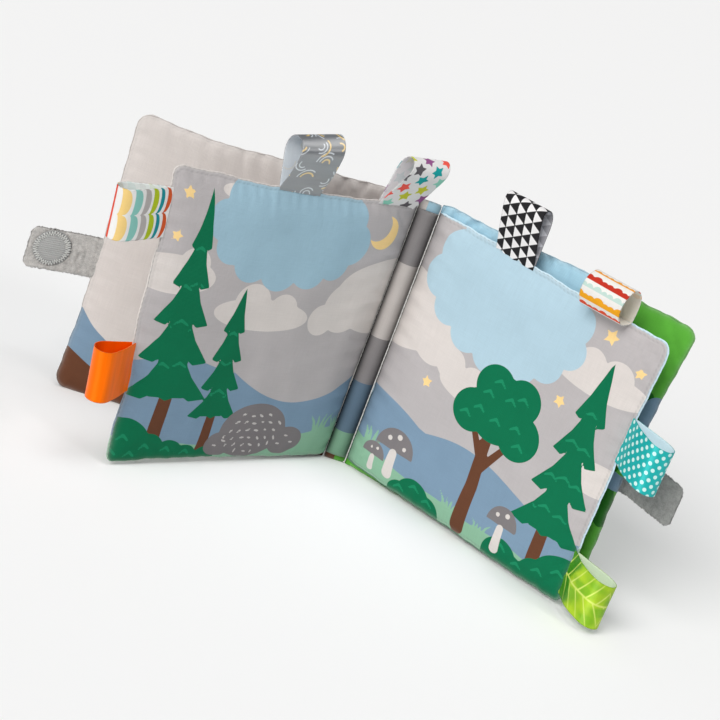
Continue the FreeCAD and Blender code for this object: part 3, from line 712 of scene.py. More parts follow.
def outline(L, R, Z):
    """The cut isn't a perfect square: how far each edge wanders, mm."""
    w, h = L["w"], L["h"]
    dr, dz = np.zeros_like(R), np.zeros_like(R)
    k = L["key"]
    dr = dr + run(Z, OUTLINES[k, "outer"]) * np.clip(R / w, 0, 1) ** 4
    dz = dz + run(R, OUTLINES[k, "head"]) * np.clip(Z / h, 0, 1) ** 4
    dz = dz + run(R, OUTLINES[k, "foot"]) * np.clip(1 - Z / h, 0, 1) ** 4
    wob, wob2 = waves(L["seed"], [11.0, 23.0, 37.0], [0.10, 0.12, 0.12]), waves(L["seed"] + 50, [9.0, 19.0, 33.0], [0.12, 0.14, 0.12])
    dr = dr + wob(Z) * np.clip(R / w, 0, 1) ** 8
    dz = dz + wob2(R) * (np.clip(Z / h, 0, 1) ** 8 + np.clip(1 - Z / h, 0, 1) ** 8)
    return dr, dz


# ------------------------------------------------------------------ the print on each face
GRAIN = {"rough": 0.88, "sheen": 0.02, "shine": 0.10}


def bank(x, y):
    """Pale clouds that cross the spine."""
    return many(oval(x, y, -4, 99, 44, 23), circle(x, y, 30, 92, 15), circle(x, y, 44, 84, 9))


# left page, r runs from the spine to the left
def left_clouds(x, y):
    return many(bank(x, y), oval(x, y, 84, 84, 30, 9), circle(x, y, 72, 88, 9), circle(x, y, 92, 90, 11),
                oval(x, y, 142, 100, 24, 10), circle(x, y, 132, 106, 9), oval(x, y, 108, 146, 18, 5))


def left_haze(x, y):
    return many(oval(x, y, 80, 130, 46, 19), np.minimum(y - 128, 38 - np.abs(x - 78)),
                puffs(x, y, [(40, 128, 12), (48, 117, 10), (63, 112, 11), (81, 110, 12), (99, 112, 11), (113, 119, 10),
                             (120, 131, 11), (110, 143, 12), (46, 141, 12)]))


def left_hill(x, y):
    return under(x, y, lambda t: 50 - 15 * np.sin(math.pi * np.clip(t, 0, 90) / 90) ** 1 + 9 * np.exp(-((t - 128) / 26) ** 2))


def left_meadow(x, y):
    g = under(x, y, lambda t: 19 - 9 * np.clip(t / 80, 0, 1) + 1.2 * np.sin(t / 9))
    return many(g, tuft(x, y, 18, 18, 11, 5), tuft(x, y, 46, 12, 9, 6), tuft(x, y, 4, 19, 9, 9))


def left_trunks(x, y):
    return many(stroke(x, y, [(131, 2, 4.6), (131, 40, 3.8)]), stroke(x, y, [(98, 2, 3.4), (98, 30, 2.8)]))


def left_green(x, y):
    return many(fir(x, y, 131, 36, 143, 25, 5), fir(x, y, 98, 26, 96, 16, 4),
                puffs(x, y, [(150, 4, 20), (134, 3, 13), (119, 2, 10), (108, 0, 9), (94, 0, 8)]))


def left_green2(x, y):
    marks = many(*[stroke(x, y, [(a - 4, b - 1, 0.55), (a, b + 1.2, 0.85), (a + 4, b - 1, 0.55)]) for a, b in
                  ((131, 114), (127, 96), (134, 94), (131, 76), (122, 73), (140, 74), (127, 54), (137, 53), (117, 52), (146, 53),
                   (98, 72), (94, 56), (102, 56), (98, 40), (90, 38), (106, 39))],
                *[stroke(x, y, [(a - 3, b, 0.6), (a, b + 2.6, 0.85), (a + 3, b, 0.6)]) for a, b in ((148, 12), (134, 7), (120, 5), (142, 3), (153, 4), (107, 3))])
    return np.minimum(marks, left_green(x, y) - 0.8)


def left_stone(x, y):
    return many(oval(x, y, 66, 17, 23, 17), oval(x, y, 40, 11, 12, 9), oval(x, y, 86, 9, 10, 8))


def left_flecks(x, y):
    out = []
    rng = np.random.RandomState(4)
    for i in range(6):
        for j in range(7):
            cx, cy = 48.5 + j * 6.0 + (i % 2) * 3.0 + rng.uniform(-0.7, 0.7), 4.0 + i * 4.6 + rng.uniform(-0.6, 0.6)
            if math.hypot((cx - 66) / 21.0, (cy - 17) / 15.0) > 0.93:
                continue
            th = math.atan2(cy - 2, cx - 66) + 1.57 + rng.uniform(-0.35, 0.35)
            l = rng.uniform(0.9, 1.5)
            out.append(stroke(x, y, [(cx - l * math.cos(th), cy - l * math.sin(th), 0.5), (cx, cy, 0.68), (cx + l * math.cos(th), cy + l * math.sin(th), 0.5)]))
    for cx, cy in ((35, 10), (40, 14), (44, 9), (84, 11), (89, 8)):
        out.append(stroke(x, y, [(cx - 1.1, cy, 0.55), (cx + 1.1, cy + 0.5, 0.55)]))
    return many(*out)


def left_yellow(x, y):
    moon = np.minimum(circle(x, y, 20, 136, 9.5), -circle(x, y, 25, 139.5, 8.6))
    return many(moon, polygon(x, y, star_points(144, 141, 4.2, 8)), polygon(x, y, star_points(146, 119, 3.7, -12)))


# right page
def right_clouds(x, y):
    return many(bank(x, y), oval(x, y, 70, 76, 30, 9), circle(x, y, 60, 80, 9), circle(x, y, 82, 80, 10),
                oval(x, y, 128, 118, 30, 9), circle(x, y, 120, 124, 9), circle(x, y, 136, 123, 10), oval(x, y, 148, 70, 18, 9))


def right_haze(x, y):
    return many(oval(x, y, 62, 122, 46, 20), np.minimum(y - 122, 42 - np.abs(x - 62)),
                puffs(x, y, [(20, 124, 12), (30, 111, 10), (46, 104, 11), (64, 101, 12), (82, 104, 11), (96, 112, 11),
                             (106, 124, 10), (102, 138, 12), (24, 140, 12)]))


def right_hill(x, y):
    return under(x, y, lambda t: 50 - 10 * np.clip(t / 45, 0, 1) ** 2 + 7 * np.sin((t - 40) / 22) * (t > 40))


def right_meadow(x, y):
    g = under(x, y, lambda t: 19 - 8 * np.clip(t / 50, 0, 1) + 0.8 * np.sin(t / 8))
    return many(g, tuft(x, y, 14, 18, 13, 15), tuft(x, y, 74, 10, 10, 16), tuft(x, y, 96, 9, 8, 19))


def right_trunks(x, y):
    return many(stroke(x, y, [(82, 4, 4.6), (83, 30, 3.8), (81, 62, 3.0)]),
                stroke(x, y, [(83, 40, 2.6), (94, 60, 1.8)]), stroke(x, y, [(82, 46, 2.4), (70, 62, 1.6)]),
                stroke(x, y, [(132, 2, 4.2), (132, 34, 3.6)]))


def right_green(x, y):
    crown = puffs(x, y, [(82, 76, 19), (66, 68, 12), (98, 68, 13), (74, 86, 12), (92, 86, 12)])
    return many(crown, fir(x, y, 132, 30, 128, 22, 4),
                puffs(x, y, [(150, 6, 18), (136, 3, 12), (112, 2, 12), (122, 0, 9), (50, 2, 12), (60, 0, 9), (40, 0, 8)]))


def right_green2(x, y):
    marks = many(*[stroke(x, y, [(a - 4, b - 1, 0.55), (a, b + 1.2, 0.85), (a + 4, b - 1, 0.55)]) for a, b in
                  ((132, 100), (128, 82), (136, 81), (132, 62), (124, 60), (140, 61), (128, 43), (138, 42), (119, 41), (147, 43))],
                *[stroke(x, y, [(a - 3.4, b, 0.6), (a, b + 2.6, 0.9), (a + 3.4, b, 0.6)]) for a, b in
                  ((70, 70), (86, 82), (76, 88), (95, 70), (63, 64), (82, 68), (93, 86), (72, 80), (100, 62), (50, 8), (112, 8), (148, 13), (137, 8), (124, 4), (60, 4), (40, 3))])
    return np.minimum(marks, right_green(x, y) - 0.8)


def right_stone(x, y):
    cap1 = np.minimum(oval(x, y, 30, 22, 13, 13), y - 22)
    cap2 = np.minimum(oval(x, y, 108, 20, 10, 11), y - 20)
    cap3 = np.minimum(oval(x, y, 18, 13, 8, 8), y - 13)
    return many(cap1, cap2, cap3)


def right_stems(x, y):
    dots = puffs(x, y, [(25, 28, 1.5), (31, 31, 1.7), (36, 26, 1.3), (104, 25, 1.3), (110, 27, 1.5), (16, 17, 0.9), (20, 18, 1.0)])
    return many(dots, stroke(x, y, [(30, 8, 3.4), (30, 20.5, 2.6)]), stroke(x, y, [(108, 6, 2.9), (108, 18.5, 2.2)]),
                stroke(x, y, [(18, 5, 2.1), (18, 11.8, 1.6)]))


def right_yellow(x, y):
    return many(polygon(x, y, star_points(124, 142, 5.0, 10)), polygon(x, y, star_points(146, 132, 3.8, -8)),
                polygon(x, y, star_points(112, 98, 4.2, 20)), polygon(x, y, star_points(34, 68, 4.0, -15)))


PAGE_LEFT = [left_clouds, left_haze, left_hill, left_meadow, left_trunks, left_green, left_green2, left_stone, left_flecks, left_yellow]
PAGE_LEFT_INKS = [CLOUD, DUSK, SLATE, MINT, BROWN, GREEN, GREEN2, STONE, PALE, YELLOW]
PAGE_RIGHT = [right_clouds, right_haze, right_hill, right_meadow, right_trunks, right_green, right_green2, right_stone, right_stems, right_yellow]
PAGE_RIGHT_INKS = [CLOUD, HAZE, SLATE, MINT, BROWN, GREEN, GREEN2, STONE, CLOUD, YELLOW]

# the pages' hidden faces
BACK_LEFT = [lambda x, y: under(x, y, lambda t: 40 + 8 * np.sin(t / 26)), lambda x, y: under(x, y, lambda t: 16 + 3 * np.sin(t / 15)),
             lambda x, y: puffs(x, y, [(50, 112, 14), (68, 118, 17), (88, 112, 13)])]
BACK_LEFT_INKS = [SLATE, MINT, PALE]
BACK_RIGHT = [lambda x, y: many(oval(x, y, 70, 118, 30, 9), circle(x, y, 62, 122, 9), circle(x, y, 80, 123, 10)),
              lambda x, y: under(x, y, lambda t: 34 + 9 * np.sin(t / 30 + 1)), lambda x, y: under(x, y, lambda t: 14 + 3 * np.sin(t / 12))]
BACK_RIGHT_INKS = [CLOUD, MINT, GREEN]

# inside faces of the covers
COVER_L = [lambda x, y: under(x, y, lambda t: 4 + 44 * np.clip((t - 88) / 68, 0, 1) ** 1.3 + 1.2 * np.sin(t / 5)),
           lambda x, y: under(x, y, lambda t: 4 + 20 * np.clip((t - 106) / 50, 0, 1) ** 1.2)]
COVER_L_INKS = [SLATE, BROWN]
COVER_R = [lambda x, y: many(x - 104 + 0.35 * (y - 150) + 3 * np.sin(y / 14), 118 - y + 4 * np.sin(x / 15)),
           lambda x, y: many(oval(x, y, 146, 92, 9, 30, -8), oval(x, y, 150, 60, 7, 16, 20)),
           lambda x, y: many(np.minimum(y - 66, 78 - y - 0.2 * (x - 140)), oval(x, y, 156, 112, 7, 9))]
COVER_R_INKS = [GRASS, GRASS2, SLATE]
# outside faces of the covers
OUT_L = [lambda x, y: under(x, y, lambda t: 56 + 10 * np.sin(t / 30)), lambda x, y: under(x, y, lambda t: 24 + 4 * np.sin(t / 22 + 1)),
         lambda x, y: puffs(x, y, [(60, 112, 15), (80, 120, 19), (102, 113, 14)]),
         lambda x, y: many(polygon(x, y, star_points(36, 138, 6, 5)), polygon(x, y, star_points(126, 140, 5, -10)))]
OUT_L_INKS = [SLATE, BROWN, CLOUD, YELLOW]
OUT_R = [lambda x, y: under(x, y, lambda t: 62 + 12 * np.sin(t / 34 + 2)), lambda x, y: puffs(x, y, [(30, 14, 18), (54, 8, 14), (120, 10, 20), (144, 12, 16)]),
         lambda x, y: many(oval(x, y, 96, 126, 32, 10), circle(x, y, 86, 131, 10), circle(x, y, 106, 131, 11)),
         lambda x, y: np.minimum(1.6 - x, y - 96)]
OUT_R_INKS = [GRASS2, GREEN, CLOUD, POOL]


# a darker copy of an ink, used for painted shade
def shaded_ink(c, k):
    return (c[0] * k, c[1] * k, c[2] * k, 1.0)


def pair(name, base, inks, **kw):
    return cloth(name, base, [("k%d" % i, c) for i, c in enumerate(inks)], **{**GRAIN, **kw})


made = {}
made["page_left"] = panel("page_left", PAGE_LEFT, BACK_LEFT, pair("page_left_print", SKY, PAGE_LEFT_INKS), pair("page_left_backing", CLOUD, BACK_LEFT_INKS))
made["page_right"] = panel("page_right", PAGE_RIGHT, BACK_RIGHT, pair("page_right_print", SKY, PAGE_RIGHT_INKS), pair("page_right_backing", ink(0.55, 0.75, 0.86), BACK_RIGHT_INKS))
made["cover_left"] = panel("cover_left", COVER_L, OUT_L, pair("cover_left_lining", CLOUD, COVER_L_INKS), pair("cover_left_face", HAZE, OUT_L_INKS))
made["cover_right"] = panel("cover_right", COVER_R, OUT_R, pair("cover_right_lining", POOL, COVER_R_INKS), pair("cover_right_face", GRASS, OUT_R_INKS))
for key, ob in made.items():
    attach(ob, {"page_left": "left_page", "page_right": "right_page", "cover_left": "left_cover", "cover_right": "right_cover"}[key])


# ------------------------------------------------------------------ the padded strips of the spine
def spine_strip(name, z0, z1, puff, to_reader, print_layers, mat, node_name, seed):
    """Cloth between the two rows of stitches, drawn down into them along both sides."""
    half = AX - 0.15
    us = np.linspace(-1, 1, 41)
    us = np.sin(us * math.pi / 2) * 0.35 + us * 0.65
    zs = z0 + steps(z1 - z0, [0, 0.3, 0.7, 1.2, 1.8], 0.9)
    U, Zm = np.meshgrid(us, zs, indexing="ij")
    x = U * half
    rad = (5.75 ** 2 + puff ** 2) / (2 * puff)
    arc = np.sqrt(np.maximum(rad ** 2 - (np.clip(np.abs(x), 0, 5.75)) ** 2, 0)) - (rad - puff)
    pinch = np.clip((half - np.abs(x)) / 1.1, 0, 1)
    lift = arc * (0.25 + 0.75 * pinch) + 0.10 + 0.25 * np.clip((half - np.abs(x)) / 0.9, 0, 1)
    f1, f2 = waves(seed, [7.5, 12.0, 19.0], [0.5, 0.6, 0.5]), waves(seed + 1, [8.5, 13.0, 24.0], [0.5, 0.6, 0.5])
    side = np.where(x < 0, f1(Zm + 0.3 * x), f2(Zm - 0.3 * x))
    dist = half - np.abs(x)
    lift = lift + 0.20 * side * np.exp(-dist / 3.0) * (1 - np.exp(-dist / 0.6))
    slow = field(seed + 5, 34.0)
    lift = lift + 0.22 * slow(x * 2, Zm) * pinch
    ends = 1 - np.exp(-np.minimum(Zm - z0, z1 - Zm) / 1.8)
    lift = np.where(lift > 0.45, 0.45 + (lift - 0.45) * (0.42 + 0.58 * ends), lift)
    sgn = -1 if to_reader else 1
    front = np.stack([x, AY + sgn * lift, Zm], -1)
    back = np.stack([x, np.full_like(x, AY + sgn * 0.05) + sgn * 0.0 * x, Zm], -1)
    n = U.size
    ids = np.arange(n).reshape(U.shape)
    fl = to_reader
    faces = [quads(ids, flip=not fl), quads(ids + n, flip=fl)]
    ring = np.concatenate([ids[:-1, 0], ids[-1, :-1], ids[::-1][:-1, -1], ids[0, ::-1][:-1]])
    nx = np.roll(ring, -1)
    wl = np.stack([ring, nx, nx + n, ring + n], -1)
    faces.append(wl[:, ::-1] if fl else wl)
    V = np.concatenate([front.reshape(-1, 3), back.reshape(-1, 3)])
    flat = np.concatenate([np.stack([x, Zm - z0, 60 + 0 * x], -1).reshape(-1, 3)] * 2)
    edge_z = np.concatenate([np.minimum(Zm - z0, z1 - Zm).ravel()] * 2)
    hem = 0.6 * np.exp(-(edge_z / 0.5) ** 2)
    # painted shade: the strip darkens down into both rows of stitches, strongest on the left
    deep = 0.87 * np.exp(-((half + x) / 1.9) ** 1.4) + 0.60 * np.exp(-((half - x) / 3.2) ** 1.5)
    attrs = {"flat": flat, "hem": hem, "rub": np.exp(-edge_z / 0.7), "shade": np.clip(np.tile(deep.ravel(), 2), 0, 0.93)}
    for k, g in enumerate(print_layers):
        attrs["k%d" % k] = np.clip(g(flat[:, 0], flat[:, 1]), -5, 5)
    ob = new_object(name, V, np.concatenate(faces), [mat], None, attrs)
    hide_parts(node_name)
    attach(ob, "spine")
    return ob


BANDS = [lambda x, y: np.minimum(119.7 - y, y - 74.7), lambda x, y: 46.7 - y, lambda x, y: 15.7 - y]
# painted shade: the strip's inks are the pages' own inks darkened to between half and three quarters, for the strip
# lying back between the pages
inner = spine_strip("inner_spine_cloth", LIFT + 0.8, LIFT + H_PAGE, 3.3, True, BANDS,
                    pair("spine_lining_shaded", shaded_ink(SKY, 0.50), [shaded_ink(CLOUD, 0.73), shaded_ink(SLATE, 0.55), shaded_ink(MINT, 0.76)]), "inner_spine", 5)
outer = spine_strip("cover_spine_cloth", 0.0, H_COVER, 2.25, False, [lambda x, y: np.minimum(-x, 62 - y), lambda x, y: np.minimum(y - 96, x + 1.4), lambda x, y: np.minimum(y - 62, -x - 1.4)],
                    pair("spine_face", GRASS, [BROWN, POOL, CLOUD]), "cover_spine", 9)


# ------------------------------------------------------------------ threads
def capsules(segs, radius, sides=8, rings=5):
    """Short soft-ended stitches between pairs of points, mm."""
    V, F, flat = [], [], []
    for a, b in segs:
        a, b = np.asarray(a, float), np.asarray(b, float)
        ax = b - a
        ln = np.linalg.norm(ax)
        ax = ax / ln
        u = np.cross(ax, [0, 0, 1.0])
        if np.linalg.norm(u) < 0.3:
            u = np.cross(ax, [0, 1.0, 0])
        u /= np.linalg.norm(u)
        v = np.cross(ax, u)
        base = len(V)
        t = np.linspace(0, math.pi, rings + 4)
        for i, tt in enumerate(t):
            c = -math.cos(tt)
            pos = a + ax * (ln / 2 + c * ln / 2)
            rad = radius * max(math.sin(tt) ** 0.45, 0.02)
            for k in range(sides):
                th = 2 * math.pi * k / sides
                V.append(pos + (u * math.cos(th) + v * math.sin(th)) * rad)
                flat.append((c * ln / 2 * 1.0 + th * radius * 2.2, th * radius * 3, base))
        m = len(t)
        for i in range(m - 1):
            for k in range(sides):
                k2 = (k + 1) % sides
                F.append((base + i * sides + k, base + i * sides + k2, base + (i + 1) * sides + k2, base + (i + 1) * sides + k))
        F.append(tuple(base + k for k in reversed(range(sides))))
        F.append(tuple(base + (m - 1) * sides + k for k in range(sides)))
    return np.array(V), F, np.array(flat, float)


def stitched(name, segs, radius, mat, **kw):
    V, F, flat = capsules(segs, radius, **kw)
    me_attrs = {"flat": flat, "hem": np.zeros(len(V)), "rub": np.zeros(len(V))}
    return new_object(name, V, F, [mat], None, me_attrs)


THREAD = cloth("sewing_thread", ink(0.80, 0.79, 0.76), rough=0.6, sheen=0.4, weave=0.25, weave_depth=0.08, slub=0.10, wear=0.0, mottle=0.05, shine=0.45)
for s, nm, body_node in ((-1, "left", "seam_thread_left"), (1, "right", "seam_thread_right")):
    rng = np.random.RandomState(60 + s)
    segs = []
    pitch, z = 2.95, 0.9
    while z + pitch < 159.4:
        front = AY - ((0.12 if s < 0 else 1.12) if 3 < z < 154 else (0.55 if s < 0 else 0.75))
        j = rng.uniform(-0.07, 0.07, 4)
        x = s * AX
        segs.append(((x + j[0], front + 0.12, z - 0.02), (x + j[1], front + 0.12 + 0.02, z + pitch - 0.04)))
        segs.append(((x - s * 0.85 + j[2], AY + 0.52, z + 0.12), (x - s * 0.85 + j[3], AY + 0.52, z + pitch - 0.22)))
        z += pitch
    # the thread turns over the foot and the head of the cover
    segs.append(((s * (AX - 0.1), AY - 0.55, 0.75), (s * (AX - 0.85), AY + 0.52, 0.55)))
    segs.append(((s * (AX - 0.1), AY - 0.55, 159.6), (s * (AX - 0.85), AY + 0.52, 159.7)))
    ob = stitched("seam_stitches_" + nm, segs, 0.30, THREAD)
    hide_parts(body_node)
    if s > 0:                                        # lies in the crease, and is left unattached
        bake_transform(ob)
    else:
        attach(ob, "spine")


# ------------------------------------------------------------------ ribbon loops
RIBBON = 25.4
LOOPS = {  # side, edge, start, reach, head radius, lean, slant
    "waves": ("left", "outer", 116.6, 29.6, 5.8, -1.5, 7.5),
    "orange": ("left", "outer", 36.9, 26.4, 6.8, 12.0, 5.0),
    "swirl": ("left", "top", 67.7, 30.3, 7.6, -8.0, 6.0),
    "stars": ("left", "top", 3.4, 30.9, 6.4, 8.0, 16.0),
    "triangles": ("right", "top", 40.8, 31.4, 5.9, -6.0, 10.5),
    "scallops": ("right", "top", 104.8, 21.6, 9.7, 43.0, 1.0),
    "dots": ("right", "outer", 84.2, 29.4, 6.6, 12.0, 8.0),
    "leaf": ("right", "outer", 5.3, 29.5, 5.8, 7.0, 8.5),
}


def teardrop(reach, head, n):
    """Middle line of the folded ribbon, from its front end round the head to its back end: (along, across)."""
    rad, root = head - 0.3, 0.5
    dist = reach - head - 0.8
    beta = math.acos((root - rad) / dist)
    top = (math.cos(beta), math.sin(beta))
    a0 = np.array([top[0] * root, top[1] * root])
    a1 = np.array([dist + top[0] * rad, top[1] * rad])
    tt = np.linspace(0, 1, 60)
    line = a0 + (a1 - a0) * tt[:, None]
    ang = np.linspace(beta, -beta, 120)[1:]
    arc = np.stack([dist + rad * np.cos(ang), rad * np.sin(ang)], -1)
    back = line[::-1] * [1, -1]
    pts = np.concatenate([line, arc, back[1:]])
    # ribbon bends gently: even out the change from straight to round
    seg = np.linalg.norm(np.diff(pts, axis=0), axis=1)
    t = np.concatenate([[0], np.cumsum(seg)])
    m = 400
    g = np.linspace(0, t[-1], m)
    p = np.stack([np.interp(g, t, pts[:, k]) for k in range(2)], -1)
    sig = 3.0 / (t[-1] / m)
    kk = np.arange(-int(3 * sig), int(3 * sig) + 1)
    ker = np.exp(-0.5 * (kk / sig) ** 2)
    ker /= ker.sum()
    padn = len(kk) // 2
    lo = 2 * p[0] - p[padn:0:-1]
    hi = 2 * p[-1] - p[-2:-padn - 2:-1]
    ext = np.concatenate([lo, p, hi])
    sm = np.stack([np.convolve(ext[:, k], ker, "valid") for k in range(2)], -1)
    grow = (reach - 0.8) / sm[:, 0].max()
    sm = sm * [grow, 1.04]
    seg = np.linalg.norm(np.diff(sm, axis=0), axis=1)
    t = np.concatenate([[0], np.cumsum(seg)])
    g = np.linspace(0, t[-1], n)
    return np.stack([np.interp(g, t, sm[:, k]) for k in range(2)], -1), t[-1]


def ribbon(name, layers, outer_mat, inner_mat, thick=0.42, ns=141, nw=55, flare=0.0, twist=0.0, ripple=0.18, belly=0.0, skew=0.0):
    side, edge, start, reach, head, lean, slant = LOOPS[name]
    L = LEAVES["page_" + side]
    s = L["s"]
    curve, length = teardrop(reach, head, ns)
    if belly:
        u = np.clip(curve[:, 0] / reach, 0, 1)
        front_ = np.clip(curve[:, 1] / (0.35 * head), 0, 1)
        curve[:, 1] += belly * np.sin(math.pi * u ** 0.8) * front_
        seg = np.linalg.norm(np.diff(curve, axis=0), axis=1)
        t = np.concatenate([[0], np.cumsum(seg)])
        g = np.linspace(0, t[-1], ns)
        curve, length = np.stack([np.interp(g, t, curve[:, k]) for k in range(2)], -1), t[-1]
    # both ends run on into the page's seam
    k = max(3, int(1.6 / (length / ns)))
    for end, sgn in ((0, 1), (-1, -1)):
        p0 = curve[0] if end == 0 else curve[-1]
        tail = np.stack([p0[0] - np.arange(k, 0, -1) * 1.6 / k, np.full(k, p0[1] * 0.8)], -1)
        curve = np.concatenate([tail, curve]) if end == 0 else np.concatenate([curve, tail[::-1]])
    ns = len(curve)
    length += 3.2
    tang = np.gradient(curve, axis=0)
    tang /= np.linalg.norm(tang, axis=1, keepdims=True)
    norm = np.stack([-tang[:, 1], tang[:, 0]], -1)      # outward of the loop
    out_sign = np.sign((norm[len(norm) // 2] * [1, 0]).sum())
    norm *= out_sign
    ws = np.linspace(0, RIBBON, nw)
    ln, sl = math.radians(lean), math.radians(slant)
    up = np.array([0, 0, 1.0])
    soft = field(len(name) * 5 + ns, 15.0, 5)
    arc_at = np.linspace(0, length, ns)
    middle = np.sin(math.pi * arc_at / length) ** 0.7
    grids = []
    for lay in (0.5, -0.5):
        c0 = curve + norm * thick * lay
        G = np.zeros((ns, nw, 3))
        for j, wv in enumerate(ws):
            q = (wv / RIBBON - 0.5)
            c = c0 + norm * (ripple * middle * soft(arc_at, wv * 0.35 + 3.0))[:, None]
            ca = c[:, 0] * (1 + skew * q)
            cb = c[:, 1] * (1 + flare * q) * (1 + 0.0 * q)
            if edge == "top":
                r = start + wv
                e, n = axes(L, 1.0)
                base = at(L, r, L["h"], 1.25 + bow(L, r, L["h"]))
                U = math.cos(sl) * up - math.sin(sl) * e
                A = math.cos(ln) * U + math.sin(ln) * n
                Bv = math.cos(ln) * n - math.sin(ln) * U
            else:
                zz = start + wv
                v = zz / L["h"]
                e, n = axes(L, v)
                base = at(L, L["w"], zz, 1.25)
                E = math.cos(sl) * e - math.sin(sl) * up
                A = math.cos(ln) * E + math.sin(ln) * n
                Bv = math.cos(ln) * n - math.sin(ln) * E
            tw = twist * q * (ca / reach)
            G[:, j] = base + A * (ca + 0.15)[:, None] + Bv * (cb + tw)[:, None]
        grids.append(G)
    n = ns * nw
    ids = np.arange(n).reshape(ns, nw)
    # which way round the outer grid faces
    G = grids[0]
    mid = ns // 2
    nrm = np.cross(G[mid + 1, nw // 2] - G[mid, nw // 2], G[mid, nw // 2 + 1] - G[mid, nw // 2])
    want = grids[0][mid, nw // 2] - grids[1][mid, nw // 2]
    flip = np.dot(nrm, want) < 0
    fo, fi = quads(ids, flip=flip), quads(ids + n, flip=not flip)
    ring = np.concatenate([ids[:-1, 0], ids[-1, :-1], ids[::-1][:-1, -1], ids[0, ::-1][:-1]])
    nx = np.roll(ring, -1)
    wl = np.stack([ring, ring + n, nx + n, nx], -1)
    if flip:
        wl = wl[:, ::-1]
    S, Wd = np.meshgrid(np.linspace(0, length, ns), ws, indexing="ij")
    V = np.concatenate([G.reshape(-1, 3) for G in grids])
    flat = np.concatenate([np.stack([S, Wd, np.full_like(S, k * 15.0)], -1).reshape(-1, 3) for k in (0, 1)])
    X, Y = flat[:, 0], flat[:, 1]
    ed = np.minimum(Y, RIBBON - Y)
    across = [np.gradient(G, axis=1) for G in grids]
    across = np.concatenate([(a / np.linalg.norm(a, axis=2, keepdims=True)).reshape(-1, 3) for a in across])
    attrs = {"flat": flat, "hem": 0.35 * np.exp(-(ed / 0.35) ** 2), "rub": 0 * X, "across": across}
    for k, g in enumerate(layers):
        attrs["k%d" % k] = np.clip(g(X, Y, length), -5, 5)
    fm = np.concatenate([np.zeros(len(fo), int), np.ones(len(fi), int), np.zeros(len(wl), int)])
    ob = new_object("loop_%s_ribbon" % name, V, np.concatenate([fo, fi, wl]), [outer_mat, inner_mat], fm, attrs)
    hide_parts("loop_" + name)
    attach(ob, side + "_page")
    return ob


WHITE = ink(0.80, 0.79, 0.78)


def scallop_row(x, y, centre, size, half, pitch, phase=0.0):
    """Row of scallops across the ribbon's length at width position centre."""
    t = (x / pitch + phase) % 1.0 - 0.5
    edge = np.sqrt(np.maximum(1 - (2 * t) ** 2, 0)) * size
    return np.minimum(edge - (y - centre), (y - centre) + half)


def tilted(fn, *a):
    return lambda x, y, l: fn(x, y, *a)


def wave_band(x, y, centre, thick, pitch):
    """A stripe with one side scalloped, running across the ribbon."""
    t = (y / pitch) % 1.0 - 0.5
    bulge = np.sqrt(np.maximum(1 - (2 * t) ** 2, 0.0))
    return thick * (0.32 + 0.30 * bulge) - np.abs(x - (centre + 1.2 - 2.4 * bulge))


